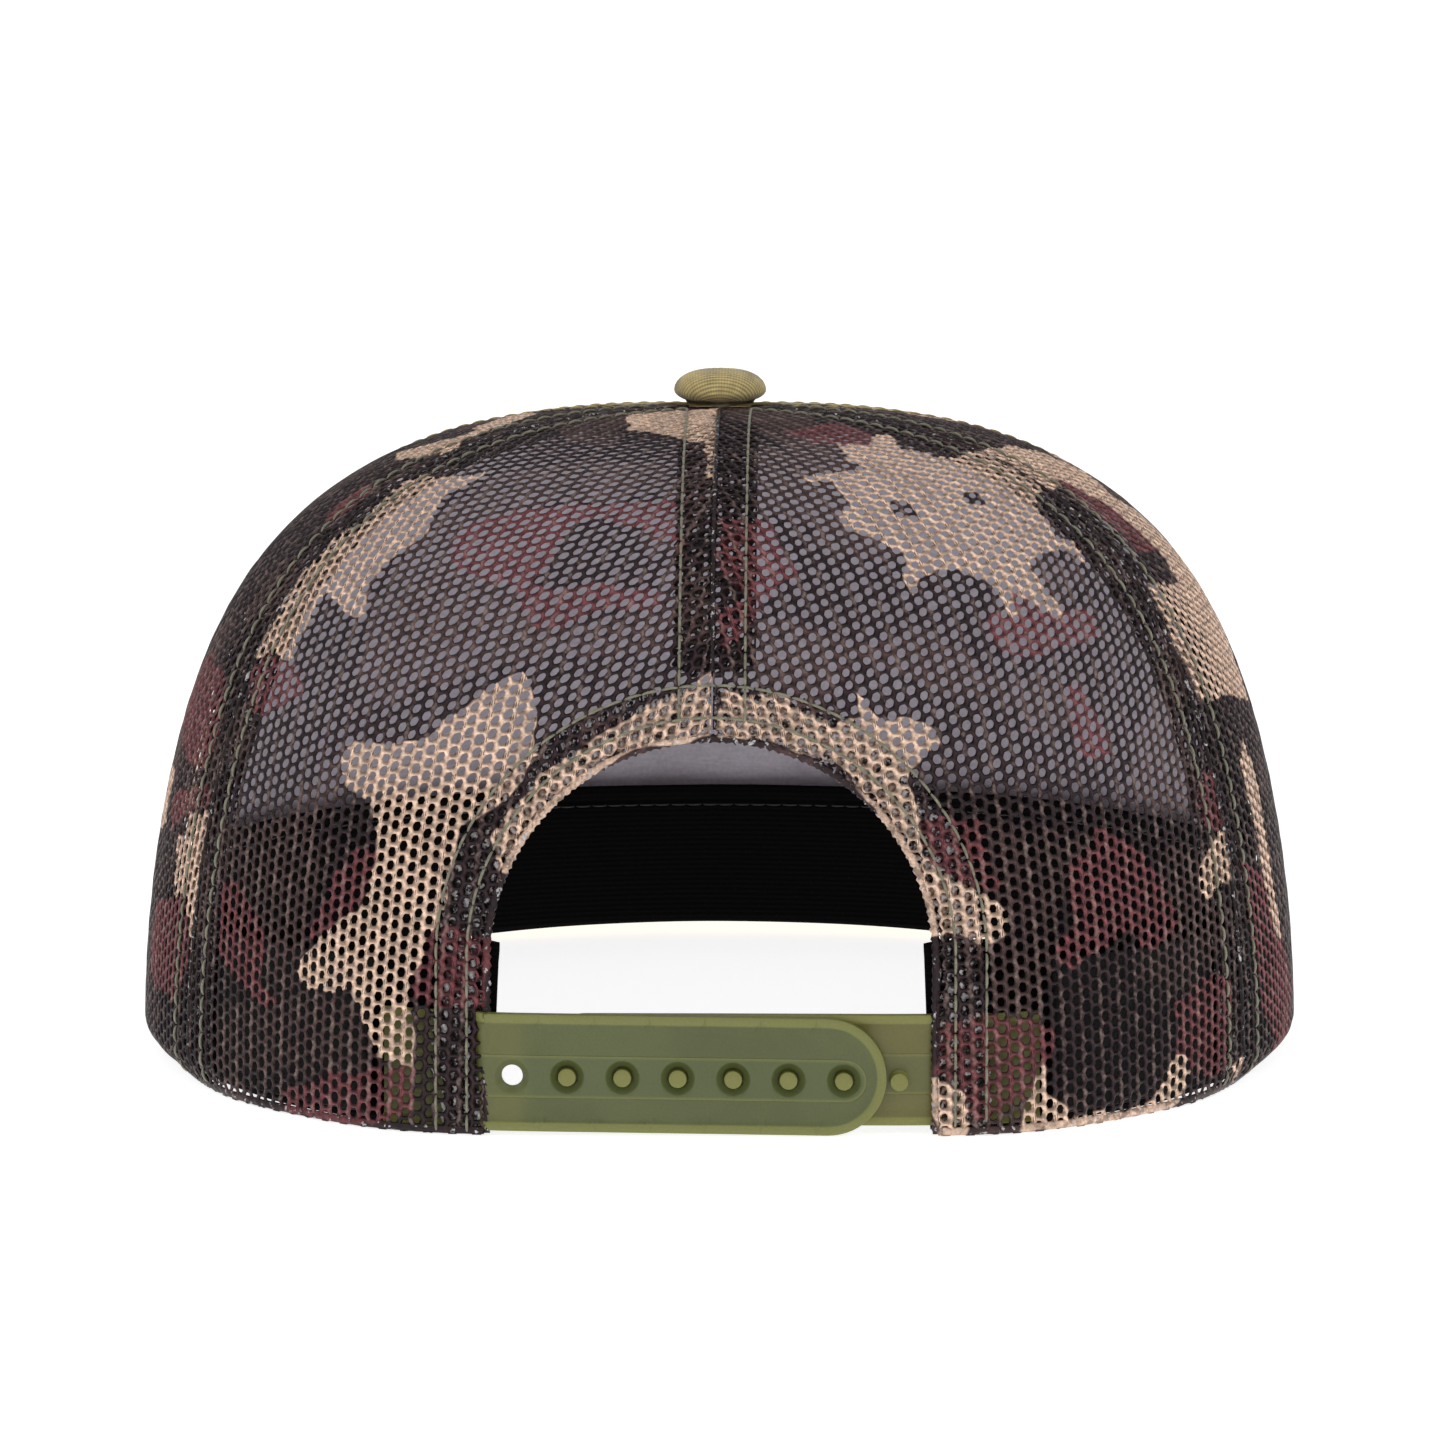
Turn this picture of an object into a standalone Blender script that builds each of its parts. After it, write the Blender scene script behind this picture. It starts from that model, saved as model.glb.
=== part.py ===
"""Five-panel trucker cap with a mesh back and a two-part snap strap.

Origin: centre of the head opening, on the plane the base ring stands on.
+Y points to the visor, +Z up, +X to the wearer's right. Metres.
"""
import math

import bmesh
import bpy
from mathutils import Vector

# Crown shape
HALF_WIDTH = 0.0986
BACK_LENGTH = 0.0941
FRONT_LENGTH = 0.0990
CROWN_HEIGHT = 0.1080
BACK_PLAN_POWER = 2.4
FRONT_PLAN_POWER = 2.1
RADIUS_POWER = 2.88
FRONT_RADIUS_POWER = 2.1
SIDE_HEIGHT_POWER = 2.8
BACK_HEIGHT_POWER = 2.7
FRONT_HEIGHT_POWER = 2.4
CORNER_BULGE = 0.0044
CORNER_BEARING = math.radians(28)
CORNER_SPREAD = math.radians(13)
WAIST = 0.016
TUCK = 0.05
TUCK_HEIGHT = 0.006

# Seams, as bearings from the centre back
SIDE_SEAM = math.radians(58)
FRONT_SEAM = math.radians(107)
SEAM_GAP = 0.0003
SEAM_HALF_WIDTH = 0.0065
CROWN_HOLE_RADIUS = 0.0026
SEAM_TOP_RADIUS = 0.0165

# Layers, as depths below the crown's outer surface
PANEL = (0.0, 0.0006)
ALLOWANCE = (0.0011, 0.0017)
PADDING = (0.0021, 0.0032)
TAB = (0.0021, 0.0035)
SWEATBAND = (0.0039, 0.0051)

# Back opening
ARCH_HALF_WIDTH = 0.0355
ARCH_STRAIGHT = 0.028
ARCH_RISE = 0.034
HEM_WIDTH = 0.0085

# Sweatband
BAND_HEIGHT = 0.030
BAND_END_X = 0.0350

# Snap strap
STRAP_BOTTOM = 0.0003
STRAP_HEIGHT = 0.0186
STRAP_THICKNESS = 0.0015
STRAP_RIM = 0.0012
STRAP_RIM_RAISE = 0.0003
HOLE_STRAP_DEPTH = 0.0
PEG_STRAP_DEPTH = 0.0018
HOLE_STRAP_END = 0.0276
PEG_STRAP_END = -0.0293
STRAP_ROOT_X = 0.0335
HINGE_X = 0.0342
TAB_INNER_X = 0.0356
TAB_OUTER_X = 0.0530
SNAP_PITCH = 0.0087
FIRST_HOLE_X = -0.0313
SNAP_COUNT = 7
SNAP_Z = 0.0090
HOLE_RADIUS = 0.0019
COUNTERSINK_RADIUS = 0.0027
COUNTERSINK_DEPTH = 0.0006
PEG_RADIUS = 0.00125
PEG_HEAD_RADIUS = 0.00145
PEG_LENGTH = 0.0024
PEG_HEAD_LENGTH = 0.0006

# Visor
VISOR_HALF_WIDTH = 0.0885
VISOR_ROOT_HALF_WIDTH = 0.0850
VISOR_TIP_Y = 0.1640
VISOR_POWER = 2.3
VISOR_ARCH = 0.0045
VISOR_GAP = 0.0005
VISOR_UNDER = (0.0, 0.0008)
VISOR_BOARD = (0.0011, 0.0031)
VISOR_TOP = (0.0034, 0.0042)
VISOR_HEM = 0.0015
VISOR_SEAM_HEIGHTS = (0.0, 0.004, 0.008)

# Top button
BUTTON_RADIUS = 0.0078
BUTTON_BOTTOM = 0.1084
BUTTON_HEIGHT = 0.0058
BUTTON_COVER = 0.0008
BUTTON_SHELL_GAP = 0.0004
POST_RADIUS = 0.0016
WASHER_RADIUS = 0.0080
WASHER_TOP = 0.1068
WASHER_THICKNESS = 0.0010

FULL_TURN = 2 * math.pi
TINY = 1e-9


def clear_scene():
    for old in list(bpy.data.objects):
        bpy.data.objects.remove(old, do_unlink=True)


def make_material(name, colour, roughness, metallic=0.0, alpha=1.0):
    material = bpy.data.materials.new(name)
    material.use_nodes = True
    shader = material.node_tree.nodes["Principled BSDF"]
    shader.inputs["Base Color"].default_value = (*colour, 1.0)
    shader.inputs["Roughness"].default_value = roughness
    shader.inputs["Metallic"].default_value = metallic
    shader.inputs["Alpha"].default_value = alpha
    return material


def make_materials():
    return {
        "camo_mesh": make_material("camo_mesh", (0.09, 0.06, 0.055), 0.75),
        "seam_mesh": make_material("seam_mesh", (0.06, 0.045, 0.04), 0.8),
        "front_fabric": make_material("front_fabric", (0.36, 0.29, 0.11), 0.85),
        "lining": make_material("lining", (0.17, 0.16, 0.19), 0.9),
        "band": make_material("band", (0.01, 0.01, 0.011), 0.9),
        "padding": make_material("padding", (0.05, 0.05, 0.05), 0.95),
        "strap": make_material("strap", (0.13, 0.15, 0.05), 0.35),
        "board": make_material("board", (0.6, 0.6, 0.58), 0.6),
        "metal": make_material("metal", (0.55, 0.5, 0.35), 0.35, metallic=1.0),
    }


def smooth_step(x):
    x = min(max(x, 0.0), 1.0)
    return x * x * (3 - 2 * x)


def signed(bearing):
    """The bearing folded into -180 to 180 degrees."""
    return (bearing + math.pi) % FULL_TURN - math.pi


def powers(bearing):
    """Exponents of the crown's vertical profile at a bearing: of the radius and of the height."""
    facing = math.cos(bearing)
    share = facing * facing
    if facing > 0:
        return RADIUS_POWER, SIDE_HEIGHT_POWER + (BACK_HEIGHT_POWER - SIDE_HEIGHT_POWER) * share
    radius_power = RADIUS_POWER + (FRONT_RADIUS_POWER - RADIUS_POWER) * share
    height_power = SIDE_HEIGHT_POWER + (FRONT_HEIGHT_POWER - SIDE_HEIGHT_POWER) * share
    return radius_power, height_power


def plan_radius(bearing, height):
    """Radius of the crown's outline, before the profile narrows it, at a share of the full height."""
    bearing = signed(bearing)
    length, power = BACK_LENGTH, BACK_PLAN_POWER
    if math.cos(bearing) <= 0:
        length, power = FRONT_LENGTH, FRONT_PLAN_POWER
    across = abs(math.sin(bearing)) / HALF_WIDTH
    along = abs(math.cos(bearing)) / length
    radius = (across ** power + along ** power) ** (-1 / power)
    corner = (abs(bearing) - CORNER_BEARING) / CORNER_SPREAD
    radius += CORNER_BULGE * math.exp(-corner * corner) * (1 - height)
    radius *= 1 - WAIST * math.sin(math.pi * height) ** 2
    degrees = math.degrees(abs(bearing))
    at_side = smooth_step((degrees - 45) / 25) * (1 - smooth_step((degrees - 110) / 30))
    low = max(1 - height * CROWN_HEIGHT / TUCK_HEIGHT, 0.0)
    return radius * (1 - TUCK * at_side * low * low)


def outer_point(bearing, climb):
    """Point on the crown's outer surface; climb runs from 0 at the base to 1 at the top."""
    radius_power, height_power = powers(bearing)
    angle = climb * math.pi / 2
    inward = max(math.cos(angle), 0.0) ** (2 / radius_power)
    height = max(math.sin(angle), 0.0) ** (2 / height_power)
    radius = plan_radius(bearing, height) * inward
    return Vector((math.sin(bearing) * radius, -math.cos(bearing) * radius, CROWN_HEIGHT * height))


def crown_point(bearing, climb, depth):
    """Point at a depth below the crown's outer surface. The base row stays in the base plane."""
    here = outer_point(bearing, climb)
    step = 1e-3
    sideways = outer_point(bearing + step, climb) - outer_point(bearing - step, climb)
    upward = outer_point(bearing, min(climb + step, 1.0)) - outer_point(bearing, max(climb - step, 0.0))
    normal = sideways.cross(upward)
    if climb < TINY:
        normal = Vector((sideways.y, -sideways.x, 0.0))
    return here - normal.normalized() * depth


def climb_at_height(bearing, height):
    """The climb at which the crown reaches a height in metres."""
    share = height / CROWN_HEIGHT
    return math.asin(share ** (powers(bearing)[1] / 2)) / (math.pi / 2)


def climb_at_radius(bearing, radius):
    """The climb at which the crown has narrowed to a radius near the top."""
    share = radius / plan_radius(bearing, 1.0)
    return math.acos(share ** (powers(bearing)[0] / 2)) / (math.pi / 2)


def radius_at(bearing, climb):
    point = outer_point(bearing, climb)
    return math.hypot(point.x, point.y)


def bearing_at_x(x, height):
    """Bearing of the back point of the crown that lies at x, at a height in metres."""
    bearing = math.asin(x / BACK_LENGTH)
    for _ in range(12):
        radius = radius_at(bearing, climb_at_height(bearing, height))
        bearing = math.asin(max(min(x / radius, 1.0), -1.0))
    return bearing


def add_object(name, bm, material, pivot=(0.0, 0.0, 0.0)):
    """Finish a mesh, put its origin at the pivot and add it to the scene."""
    bmesh.ops.recalc_face_normals(bm, faces=bm.faces)
    bmesh.ops.translate(bm, verts=bm.verts, vec=-Vector(pivot))
    mesh = bpy.data.meshes.new(name)
    bm.to_mesh(mesh)
    bm.free()
    mesh.materials.append(material)
    mesh.shade_smooth()
    mesh.set_sharp_from_angle(angle=math.radians(35))
    made = bpy.data.objects.new(name, mesh)
    made.location = pivot
    bpy.context.scene.collection.objects.link(made)
    return made


def add_slab(bm, outer, inner):
    """Closed solid between two grids of points of the same size."""
    rows, columns = len(outer), len(outer[0])
    out = [[bm.verts.new(p) for p in row] for row in outer]
    back = [[bm.verts.new(p) for p in row] for row in inner]
    for i in range(rows - 1):
        for j in range(columns - 1):
            bm.faces.new((out[i][j], out[i][j + 1], out[i + 1][j + 1], out[i + 1][j]))
            bm.faces.new((back[i][j], back[i + 1][j], back[i + 1][j + 1], back[i][j + 1]))
    for j in range(columns - 1):
        bm.faces.new((out[0][j], back[0][j], back[0][j + 1], out[0][j + 1]))
        bm.faces.new((out[-1][j], out[-1][j + 1], back[-1][j + 1], back[-1][j]))
    for i in range(rows - 1):
        bm.faces.new((out[i][0], out[i + 1][0], back[i + 1][0], back[i][0]))
        bm.faces.new((out[i][-1], back[i][-1], back[i + 1][-1], out[i + 1][-1]))


def panel_climbs(bottom, top_radius, steps):
    """Rows of a crown piece: close together in the tucked base, then even up to the top radius."""
    low_heights = [bottom]
    if bottom < TUCK_HEIGHT:
        low_heights = [bottom, TUCK_HEIGHT * 0.4, TUCK_HEIGHT]

    def climb(bearing, row):
        if row < len(low_heights):
            return climb_at_height(bearing, low_heights[row])
        first = climb_at_height(bearing, low_heights[-1])
        last = climb_at_radius(bearing, top_radius)
        return first + (last - first) * (row - len(low_heights) + 1) / steps

    return climb, len(low_heights) + steps


def add_patch(bm, edges, climb, rows, columns, layer):
    """Crown piece between two seam edges. An edge is a bearing and a sideways margin in metres."""
    (left, left_margin), (right, right_margin) = edges
    grids = []
    for depth in layer:
        grid = []
        for i in range(rows):
            start_radius = radius_at(left, climb(left, i))
            end_radius = radius_at(right, climb(right, i))
            start = left + math.asin(min(left_margin / start_radius, 1.0))
            end = right - math.asin(min(right_margin / end_radius, 1.0))
            bearings = [start + (end - start) * j / columns for j in range(columns + 1)]
            grid.append([crown_point(b, climb(b, i), depth) for b in bearings])
        grids.append(grid)
    add_slab(bm, *grids)


def make_panel(name, left, right, columns, material):
    bm = bmesh.new()
    climb, rows = panel_climbs(0.0, CROWN_HOLE_RADIUS, 16)
    edges = ((left, SEAM_GAP / 2), (right, SEAM_GAP / 2))
    add_patch(bm, edges, climb, rows, columns, PANEL)
    return add_object(name, bm, material)


def arch_outline(margin, segments):
    """Half of the arch, from the centre top down to the base, as x and z; margin widens it."""
    half_width = ARCH_HALF_WIDTH + margin
    rise = ARCH_RISE + margin
    points = []
    for k in range(segments + 1):
        angle = math.pi / 2 * k / segments
        points.append((half_width * math.sin(angle), ARCH_STRAIGHT + rise * math.cos(angle)))
    return points


def make_arch_cutter():
    """Prism of the back opening, longer than the panels are deep."""
    half = arch_outline(0.0, 14)
    below = -0.01
    right = half + [(half[-1][0], below)]
    outline = [(-x, z) for x, z in reversed(right)] + right[1:]
    bm = bmesh.new()
    near = [bm.verts.new((x, -0.13, z)) for x, z in outline]
    far = [bm.verts.new((x, -0.05, z)) for x, z in outline]
    count = len(outline)
    bm.faces.new(near)
    bm.faces.new(list(reversed(far)))
    for k in range(count):
        after = (k + 1) % count
        bm.faces.new((near[k], far[k], far[after], near[after]))
    material = bpy.data.materials.new("cutter")
    cutter = add_object("arch_cutter", bm, material)
    hide_guide(cutter)
    return cutter


def hide_guide(guide):
    guide.hide_render = True
    guide.display_type = "WIRE"


def cut(target, cutter):
    modifier = target.modifiers.new("cut", "BOOLEAN")
    modifier.operation = "DIFFERENCE"
    modifier.solver = "EXACT"
    modifier.object = cutter


def make_panels(materials):
    camo = materials["camo_mesh"]
    cutter = make_arch_cutter()
    for name, left, right in (
        ("back_panel_left", -SIDE_SEAM, 0.0),
        ("back_panel_right", 0.0, SIDE_SEAM),
    ):
        cut(make_panel(name, left, right, 9, camo), cutter)
    make_panel("side_panel_left", -FRONT_SEAM, -SIDE_SEAM, 9, camo)
    make_panel("side_panel_right", SIDE_SEAM, FRONT_SEAM, 9, camo)
    make_panel("front_panel", FRONT_SEAM, FULL_TURN - FRONT_SEAM, 22, materials["front_fabric"])


def make_lining(materials):
    bm = bmesh.new()
    climb, rows = panel_climbs(0.001, SEAM_TOP_RADIUS, 14)
    margin = SEAM_HALF_WIDTH + SEAM_GAP
    edges = ((FRONT_SEAM, margin), (FULL_TURN - FRONT_SEAM, margin))
    add_patch(bm, edges, climb, rows, 22, ALLOWANCE)
    add_object("front_panel_lining", bm, materials["lining"])


def make_seam_strip(name, seam, bottom, material):
    """Doubled seam allowance that lies inside the crown along one seam."""
    bm = bmesh.new()
    climb, rows = panel_climbs(bottom, SEAM_TOP_RADIUS, 14)
    edges = ((seam, -SEAM_HALF_WIDTH), (seam, -SEAM_HALF_WIDTH))
    add_patch(bm, edges, climb, rows, 2, ALLOWANCE)
    add_object(name, bm, material)


def make_seams(materials):
    seam_mesh = materials["seam_mesh"]
    above_hem = ARCH_STRAIGHT + ARCH_RISE + HEM_WIDTH + 0.001
    make_seam_strip("back_seam", 0.0, above_hem, seam_mesh)
    for side, name in ((-1, "left"), (1, "right")):
        make_seam_strip("side_seam_" + name, side * SIDE_SEAM, 0.001, seam_mesh)
        make_seam_strip("front_seam_" + name, side * FRONT_SEAM, 0.001, seam_mesh)


def make_hem(name, side, material):
    """Folded hem along one half of the arch, following the crown's inside."""
    segments = 12
    lines = []
    for margin in (0.0, HEM_WIDTH):
        line = arch_outline(margin, segments)
        line[0] = (SEAM_GAP / 2, line[0][1])
        line.append((ARCH_HALF_WIDTH + margin, 0.001))
        lines.append(line)
    grids = []
    for depth in ALLOWANCE:
        grid = []
        for inner_edge, outer_edge in zip(*lines):
            row = []
            for share in (0.0, 0.5, 1.0):
                x = inner_edge[0] + (outer_edge[0] - inner_edge[0]) * share
                z = inner_edge[1] + (outer_edge[1] - inner_edge[1]) * share
                bearing = side * bearing_at_x(x, z)
                row.append(crown_point(bearing, climb_at_height(bearing, z), depth))
            grid.append(row)
        grids.append(grid)
    bm = bmesh.new()
    add_slab(bm, *grids)
    add_object(name, bm, material)


def make_ring_piece(name, heights, from_bearing, columns, layer, material):
    """Band inside the base, open at the back between plus and minus from_bearing."""
    bm = bmesh.new()

    def climb(bearing, row):
        return climb_at_height(bearing, heights[row])

    edges = ((from_bearing, 0.0), (FULL_TURN - from_bearing, 0.0))
    add_patch(bm, edges, climb, len(heights), columns, layer)
    return add_object(name, bm, material)


def make_sweatband(materials):
    start = bearing_at_x(BAND_END_X, BAND_HEIGHT / 2)
    heights = (0.0, 0.0024, 0.006, 0.0165, BAND_HEIGHT)
    make_ring_piece("sweatband", heights, start, 40, SWEATBAND, materials["band"])
    start = bearing_at_x(TAB_OUTER_X + 0.002, BAND_HEIGHT / 2)
    heights = (0.0015, 0.0024, 0.006, 0.0165, BAND_HEIGHT - 0.003)
    make_ring_piece("sweatband_padding", heights, start, 32, PADDING, materials["padding"])


def strap_point(x, depth, height):
    """Point in the strap's surface: it follows the base ring's outline and stands upright."""
    side = 1 if x >= 0 else -1
    bearing = side * bearing_at_x(abs(x), 0.0)
    point = crown_point(bearing, 0.0, depth)
    return Vector((point.x, point.y, STRAP_BOTTOM + height))


def strap_columns(root, end):
    """Stations along a strap: even along the straight part, crowded round its end."""
    way = 1 if end > root else -1
    radius = STRAP_HEIGHT / 2
    centre = end - way * radius
    straight = [root + (centre - root) * k / 8 for k in range(9)]
    turns = [centre + way * radius * math.sin(math.radians(a)) for a in (18, 36, 52, 66, 78, 87)]
    return straight + turns, centre


def half_height(x, centre, way, radius):
    beyond = way * (x - centre)
    if beyond <= 0:
        return radius
    return math.sqrt(max(radius * radius - beyond * beyond, 0.0))


def make_strap(name, root, end, depth, hinge, material):
    """Strap with a round end, a raised rim on its outer face, and its origin on its hinge."""
    radius = STRAP_HEIGHT / 2
    way = 1 if end > root else -1
    columns, centre = strap_columns(root, end)
    bm = bmesh.new()
    rings = []
    for x in columns:
        full = half_height(x, centre, way, radius)
        inner = min(half_height(x, centre, way, radius - STRAP_RIM), full - STRAP_RIM)
        inner = max(inner, full * 0.05)
        back, face, rim = depth + STRAP_THICKNESS, depth + STRAP_RIM_RAISE, depth
        section = (
            (back, radius - full), (back, radius + full),
            (rim, radius + full), (rim, radius + inner),
            (face, radius + inner), (face, radius - inner),
            (rim, radius - inner), (rim, radius - full),
        )
        rings.append([bm.verts.new(strap_point(x, d, h)) for d, h in section])
    for before, after in zip(rings, rings[1:]):
        for k in range(len(before)):
            nxt = (k + 1) % len(before)
            bm.faces.new((before[k], before[nxt], after[nxt], after[k]))
    bm.faces.new(rings[0])
    bm.faces.new(rings[-1])
    return add_object(name, bm, material, hinge)


def snap_places(first):
    return [FIRST_HOLE_X + SNAP_PITCH * k for k in range(first, first + SNAP_COUNT)]


def add_turned(bm, profile, centre, outward, segments):
    """Solid of revolution. The profile lists distance along the axis and radius, end to end."""
    rotation = Vector((0, 0, 1)).rotation_difference(outward).to_matrix()
    rings = []
    for along, radius in profile:
        ring = []
        for k in range(segments):
            angle = FULL_TURN * k / segments
            local = Vector((radius * math.cos(angle), radius * math.sin(angle), along))
            ring.append(bm.verts.new(centre + rotation @ local))
        rings.append(ring)
    for before, after in zip(rings, rings[1:]):
        for k in range(segments):
            nxt = (k + 1) % segments
            bm.faces.new((before[k], before[nxt], after[nxt], after[k]))
    bm.faces.new(list(reversed(rings[0])))
    bm.faces.new(rings[-1])


def make_hole_cutter():
    """One countersunk plug for each hole of the outer strap."""
    bm = bmesh.new()
    for x in snap_places(0):
        face = strap_point(x, HOLE_STRAP_DEPTH + STRAP_RIM_RAISE, SNAP_Z)
        outward = (strap_point(x, 0.0, SNAP_Z) - strap_point(x, 0.001, SNAP_Z)).normalized()
        profile = (
            (-STRAP_THICKNESS - 0.001, HOLE_RADIUS),
            (-COUNTERSINK_DEPTH, HOLE_RADIUS),
            (-COUNTERSINK_DEPTH, HOLE_RADIUS + 0.0001),
            (0.001, COUNTERSINK_RADIUS + 0.0005),
        )
        add_turned(bm, profile, face, outward, 14)
    cutter = add_object("hole_cutter", bm, bpy.data.materials.new("hole_cutter"))
    hide_guide(cutter)
    return cutter


def make_pegs(inner_face_depth):
    """The pegs of the inner strap, as a guide mesh that is joined to it."""
    bm = bmesh.new()
    for x in snap_places(1):
        base = strap_point(x, inner_face_depth, SNAP_Z)
        outward = (strap_point(x, 0.0, SNAP_Z) - strap_point(x, 0.001, SNAP_Z)).normalized()
        neck = PEG_LENGTH - PEG_HEAD_LENGTH
        profile = (
            (-0.0006, PEG_RADIUS),
            (neck, PEG_RADIUS),
            (neck + 0.0001, PEG_HEAD_RADIUS),
            (PEG_LENGTH - 0.0002, PEG_HEAD_RADIUS),
            (PEG_LENGTH, PEG_RADIUS * 0.8),
        )
        add_turned(bm, profile, base, outward, 12)
    pegs = add_object("peg_guide", bm, bpy.data.materials.new("peg_guide"))
    hide_guide(pegs)
    return pegs


def make_tab(name, side, material):
    """Sewn end of a strap, between the hem and the sweatband."""
    bm = bmesh.new()
    grids = []
    stations = [TAB_INNER_X + (TAB_OUTER_X - TAB_INNER_X) * k / 4 for k in range(5)]
    for depth in TAB:
        rows = []
        for height in (0.0, STRAP_HEIGHT):
            row = []
            for x in stations:
                bearing = side * bearing_at_x(x, STRAP_BOTTOM + height)
                climb = climb_at_height(bearing, STRAP_BOTTOM + height)
                row.append(crown_point(bearing, climb, depth))
            rows.append(row)
        grids.append(rows)
    add_slab(bm, *grids)
    add_object(name, bm, material)


def make_snap_strap(materials):
    plastic = materials["strap"]
    middle = STRAP_THICKNESS / 2
    hole_hinge = strap_point(-HINGE_X, HOLE_STRAP_DEPTH + middle, STRAP_HEIGHT / 2)
    peg_hinge = strap_point(HINGE_X, PEG_STRAP_DEPTH + middle, STRAP_HEIGHT / 2)
    hole_strap = make_strap(
        "hole_strap", -STRAP_ROOT_X, HOLE_STRAP_END, HOLE_STRAP_DEPTH, hole_hinge, plastic
    )
    cut(hole_strap, make_hole_cutter())
    peg_strap = make_strap(
        "peg_strap", STRAP_ROOT_X, PEG_STRAP_END, PEG_STRAP_DEPTH, peg_hinge, plastic
    )
    joined = peg_strap.modifiers.new("pegs", "BOOLEAN")
    joined.operation = "UNION"
    joined.solver = "EXACT"
    joined.object = make_pegs(PEG_STRAP_DEPTH + STRAP_RIM_RAISE)
    make_tab("hole_strap_tab", -1, plastic)
    make_tab("peg_strap_tab", 1, plastic)


def visor_inner(share, margin):
    """Point where the visor meets the front of the crown; share runs from side to side."""
    end = bearing_at_front_x(VISOR_ROOT_HALF_WIDTH)
    bearing = end + (FULL_TURN - 2 * end) * share
    radius = max(radius_at(bearing, climb_at_height(bearing, z)) for z in VISOR_SEAM_HEIGHTS)
    radius += VISOR_GAP + margin
    return math.sin(bearing) * radius, -math.cos(bearing) * radius


def bearing_at_front_x(x):
    bearing = math.pi / 2
    for _ in range(30):
        radius = radius_at(bearing, climb_at_height(bearing, VISOR_SEAM_HEIGHTS[-1]))
        bearing = math.pi - math.asin(min(x / radius, 1.0))
    return bearing


def visor_outer(share, margin):
    """Point on the visor's free edge, a rounded outline from side to side."""
    angle = math.pi / 2 - math.pi * share
    root_y = visor_inner(0.0, 0.0)[1]
    power = 2 / VISOR_POWER
    sideways = math.copysign(abs(math.sin(angle)) ** power, angle)
    x = (VISOR_HALF_WIDTH - margin) * sideways
    y = root_y + (VISOR_TIP_Y - margin - root_y) * math.cos(angle) ** power
    return x, y


def visor_height(x, y):
    """Height of the visor's underside: its middle arches up, its sides rest on the base plane."""
    return VISOR_ARCH * max(1 - (x / VISOR_HALF_WIDTH) ** 2, 0.0)


def make_visor_layer(name, layer, margin, material):
    bm = bmesh.new()
    columns, rows = 18, 6
    grids = []
    for level in reversed(layer):
        grid = []
        for i in range(rows + 1):
            row = []
            for j in range(columns + 1):
                near = visor_inner(j / columns, margin)
                far = visor_outer(j / columns, margin)
                x = near[0] + (far[0] - near[0]) * i / rows
                y = near[1] + (far[1] - near[1]) * i / rows
                row.append(Vector((x, y, visor_height(x, y) + level)))
            grid.append(row)
        grids.append(grid)
    add_slab(bm, *grids)
    add_object(name, bm, material)


def make_visor(materials):
    make_visor_layer("visor_under_cover", VISOR_UNDER, 0.0, materials["front_fabric"])
    make_visor_layer("visor_board", VISOR_BOARD, VISOR_HEM, materials["board"])
    make_visor_layer("visor_top_cover", VISOR_TOP, 0.0, materials["front_fabric"])


def dome_profile(radius, bottom, height, thickness):
    """Closed section of a domed cup, open below, as radius and height."""
    steps = 8
    outer = []
    inner = []
    for k in range(steps + 1):
        angle = math.pi / 2 * k / steps
        outer.append((radius * math.cos(angle) ** 0.7, bottom + height * (0.3 + 0.7 * math.sin(angle))))
        small = radius - thickness
        tall = height * (0.3 + 0.7 * math.sin(angle)) - thickness
        inner.append((small * math.cos(angle) ** 0.7, bottom + tall))
    outer = [(radius * 0.86, bottom), (radius, bottom + height * 0.3)] + outer[1:]
    inner = [(radius * 0.86 - thickness, bottom), (radius - thickness, bottom + height * 0.3)] + inner[1:]
    return outer, inner


def add_cup(bm, outer, inner, segments):
    """Turned cup from its outer and inner sections, each running from the rim to the axis."""
    sides = []
    for section in (outer, inner):
        rings = []
        for radius, height in section[:-1]:
            ring = []
            for k in range(segments):
                angle = FULL_TURN * k / segments
                ring.append(bm.verts.new((radius * math.cos(angle), radius * math.sin(angle), height)))
            rings.append(ring)
        tip = bm.verts.new((0.0, 0.0, section[-1][1]))
        for before, after in zip(rings, rings[1:]):
            for k in range(segments):
                nxt = (k + 1) % segments
                bm.faces.new((before[k], before[nxt], after[nxt], after[k]))
        for k in range(segments):
            bm.faces.new((rings[-1][k], rings[-1][(k + 1) % segments], tip))
        sides.append(rings[0])
    for k in range(segments):
        nxt = (k + 1) % segments
        bm.faces.new((sides[0][k], sides[1][k], sides[1][nxt], sides[0][nxt]))


def make_button(materials):
    segments = 24
    bm = bmesh.new()
    sections = dome_profile(BUTTON_RADIUS, BUTTON_BOTTOM, BUTTON_HEIGHT, BUTTON_COVER)
    add_cup(bm, *sections, segments)
    add_object("button_cover", bm, materials["front_fabric"])

    inset = BUTTON_COVER + BUTTON_SHELL_GAP
    bm = bmesh.new()
    sections = dome_profile(BUTTON_RADIUS - inset, BUTTON_BOTTOM, BUTTON_HEIGHT - inset, BUTTON_COVER)
    add_cup(bm, *sections, segments)
    add_object("button_shell", bm, materials["metal"])

    bm = bmesh.new()
    top = BUTTON_BOTTOM + BUTTON_HEIGHT - inset - BUTTON_COVER - 0.0008
    foot = WASHER_TOP - WASHER_THICKNESS - 0.0003
    profile = (
        (foot - 0.0008, POST_RADIUS + 0.001),
        (foot, POST_RADIUS + 0.0014),
        (foot, POST_RADIUS),
        (top, POST_RADIUS),
    )
    add_turned(bm, profile, Vector((0, 0, 0)), Vector((0, 0, 1)), 16)
    add_object("button_post", bm, materials["metal"])
    make_washer(materials["metal"])


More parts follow.
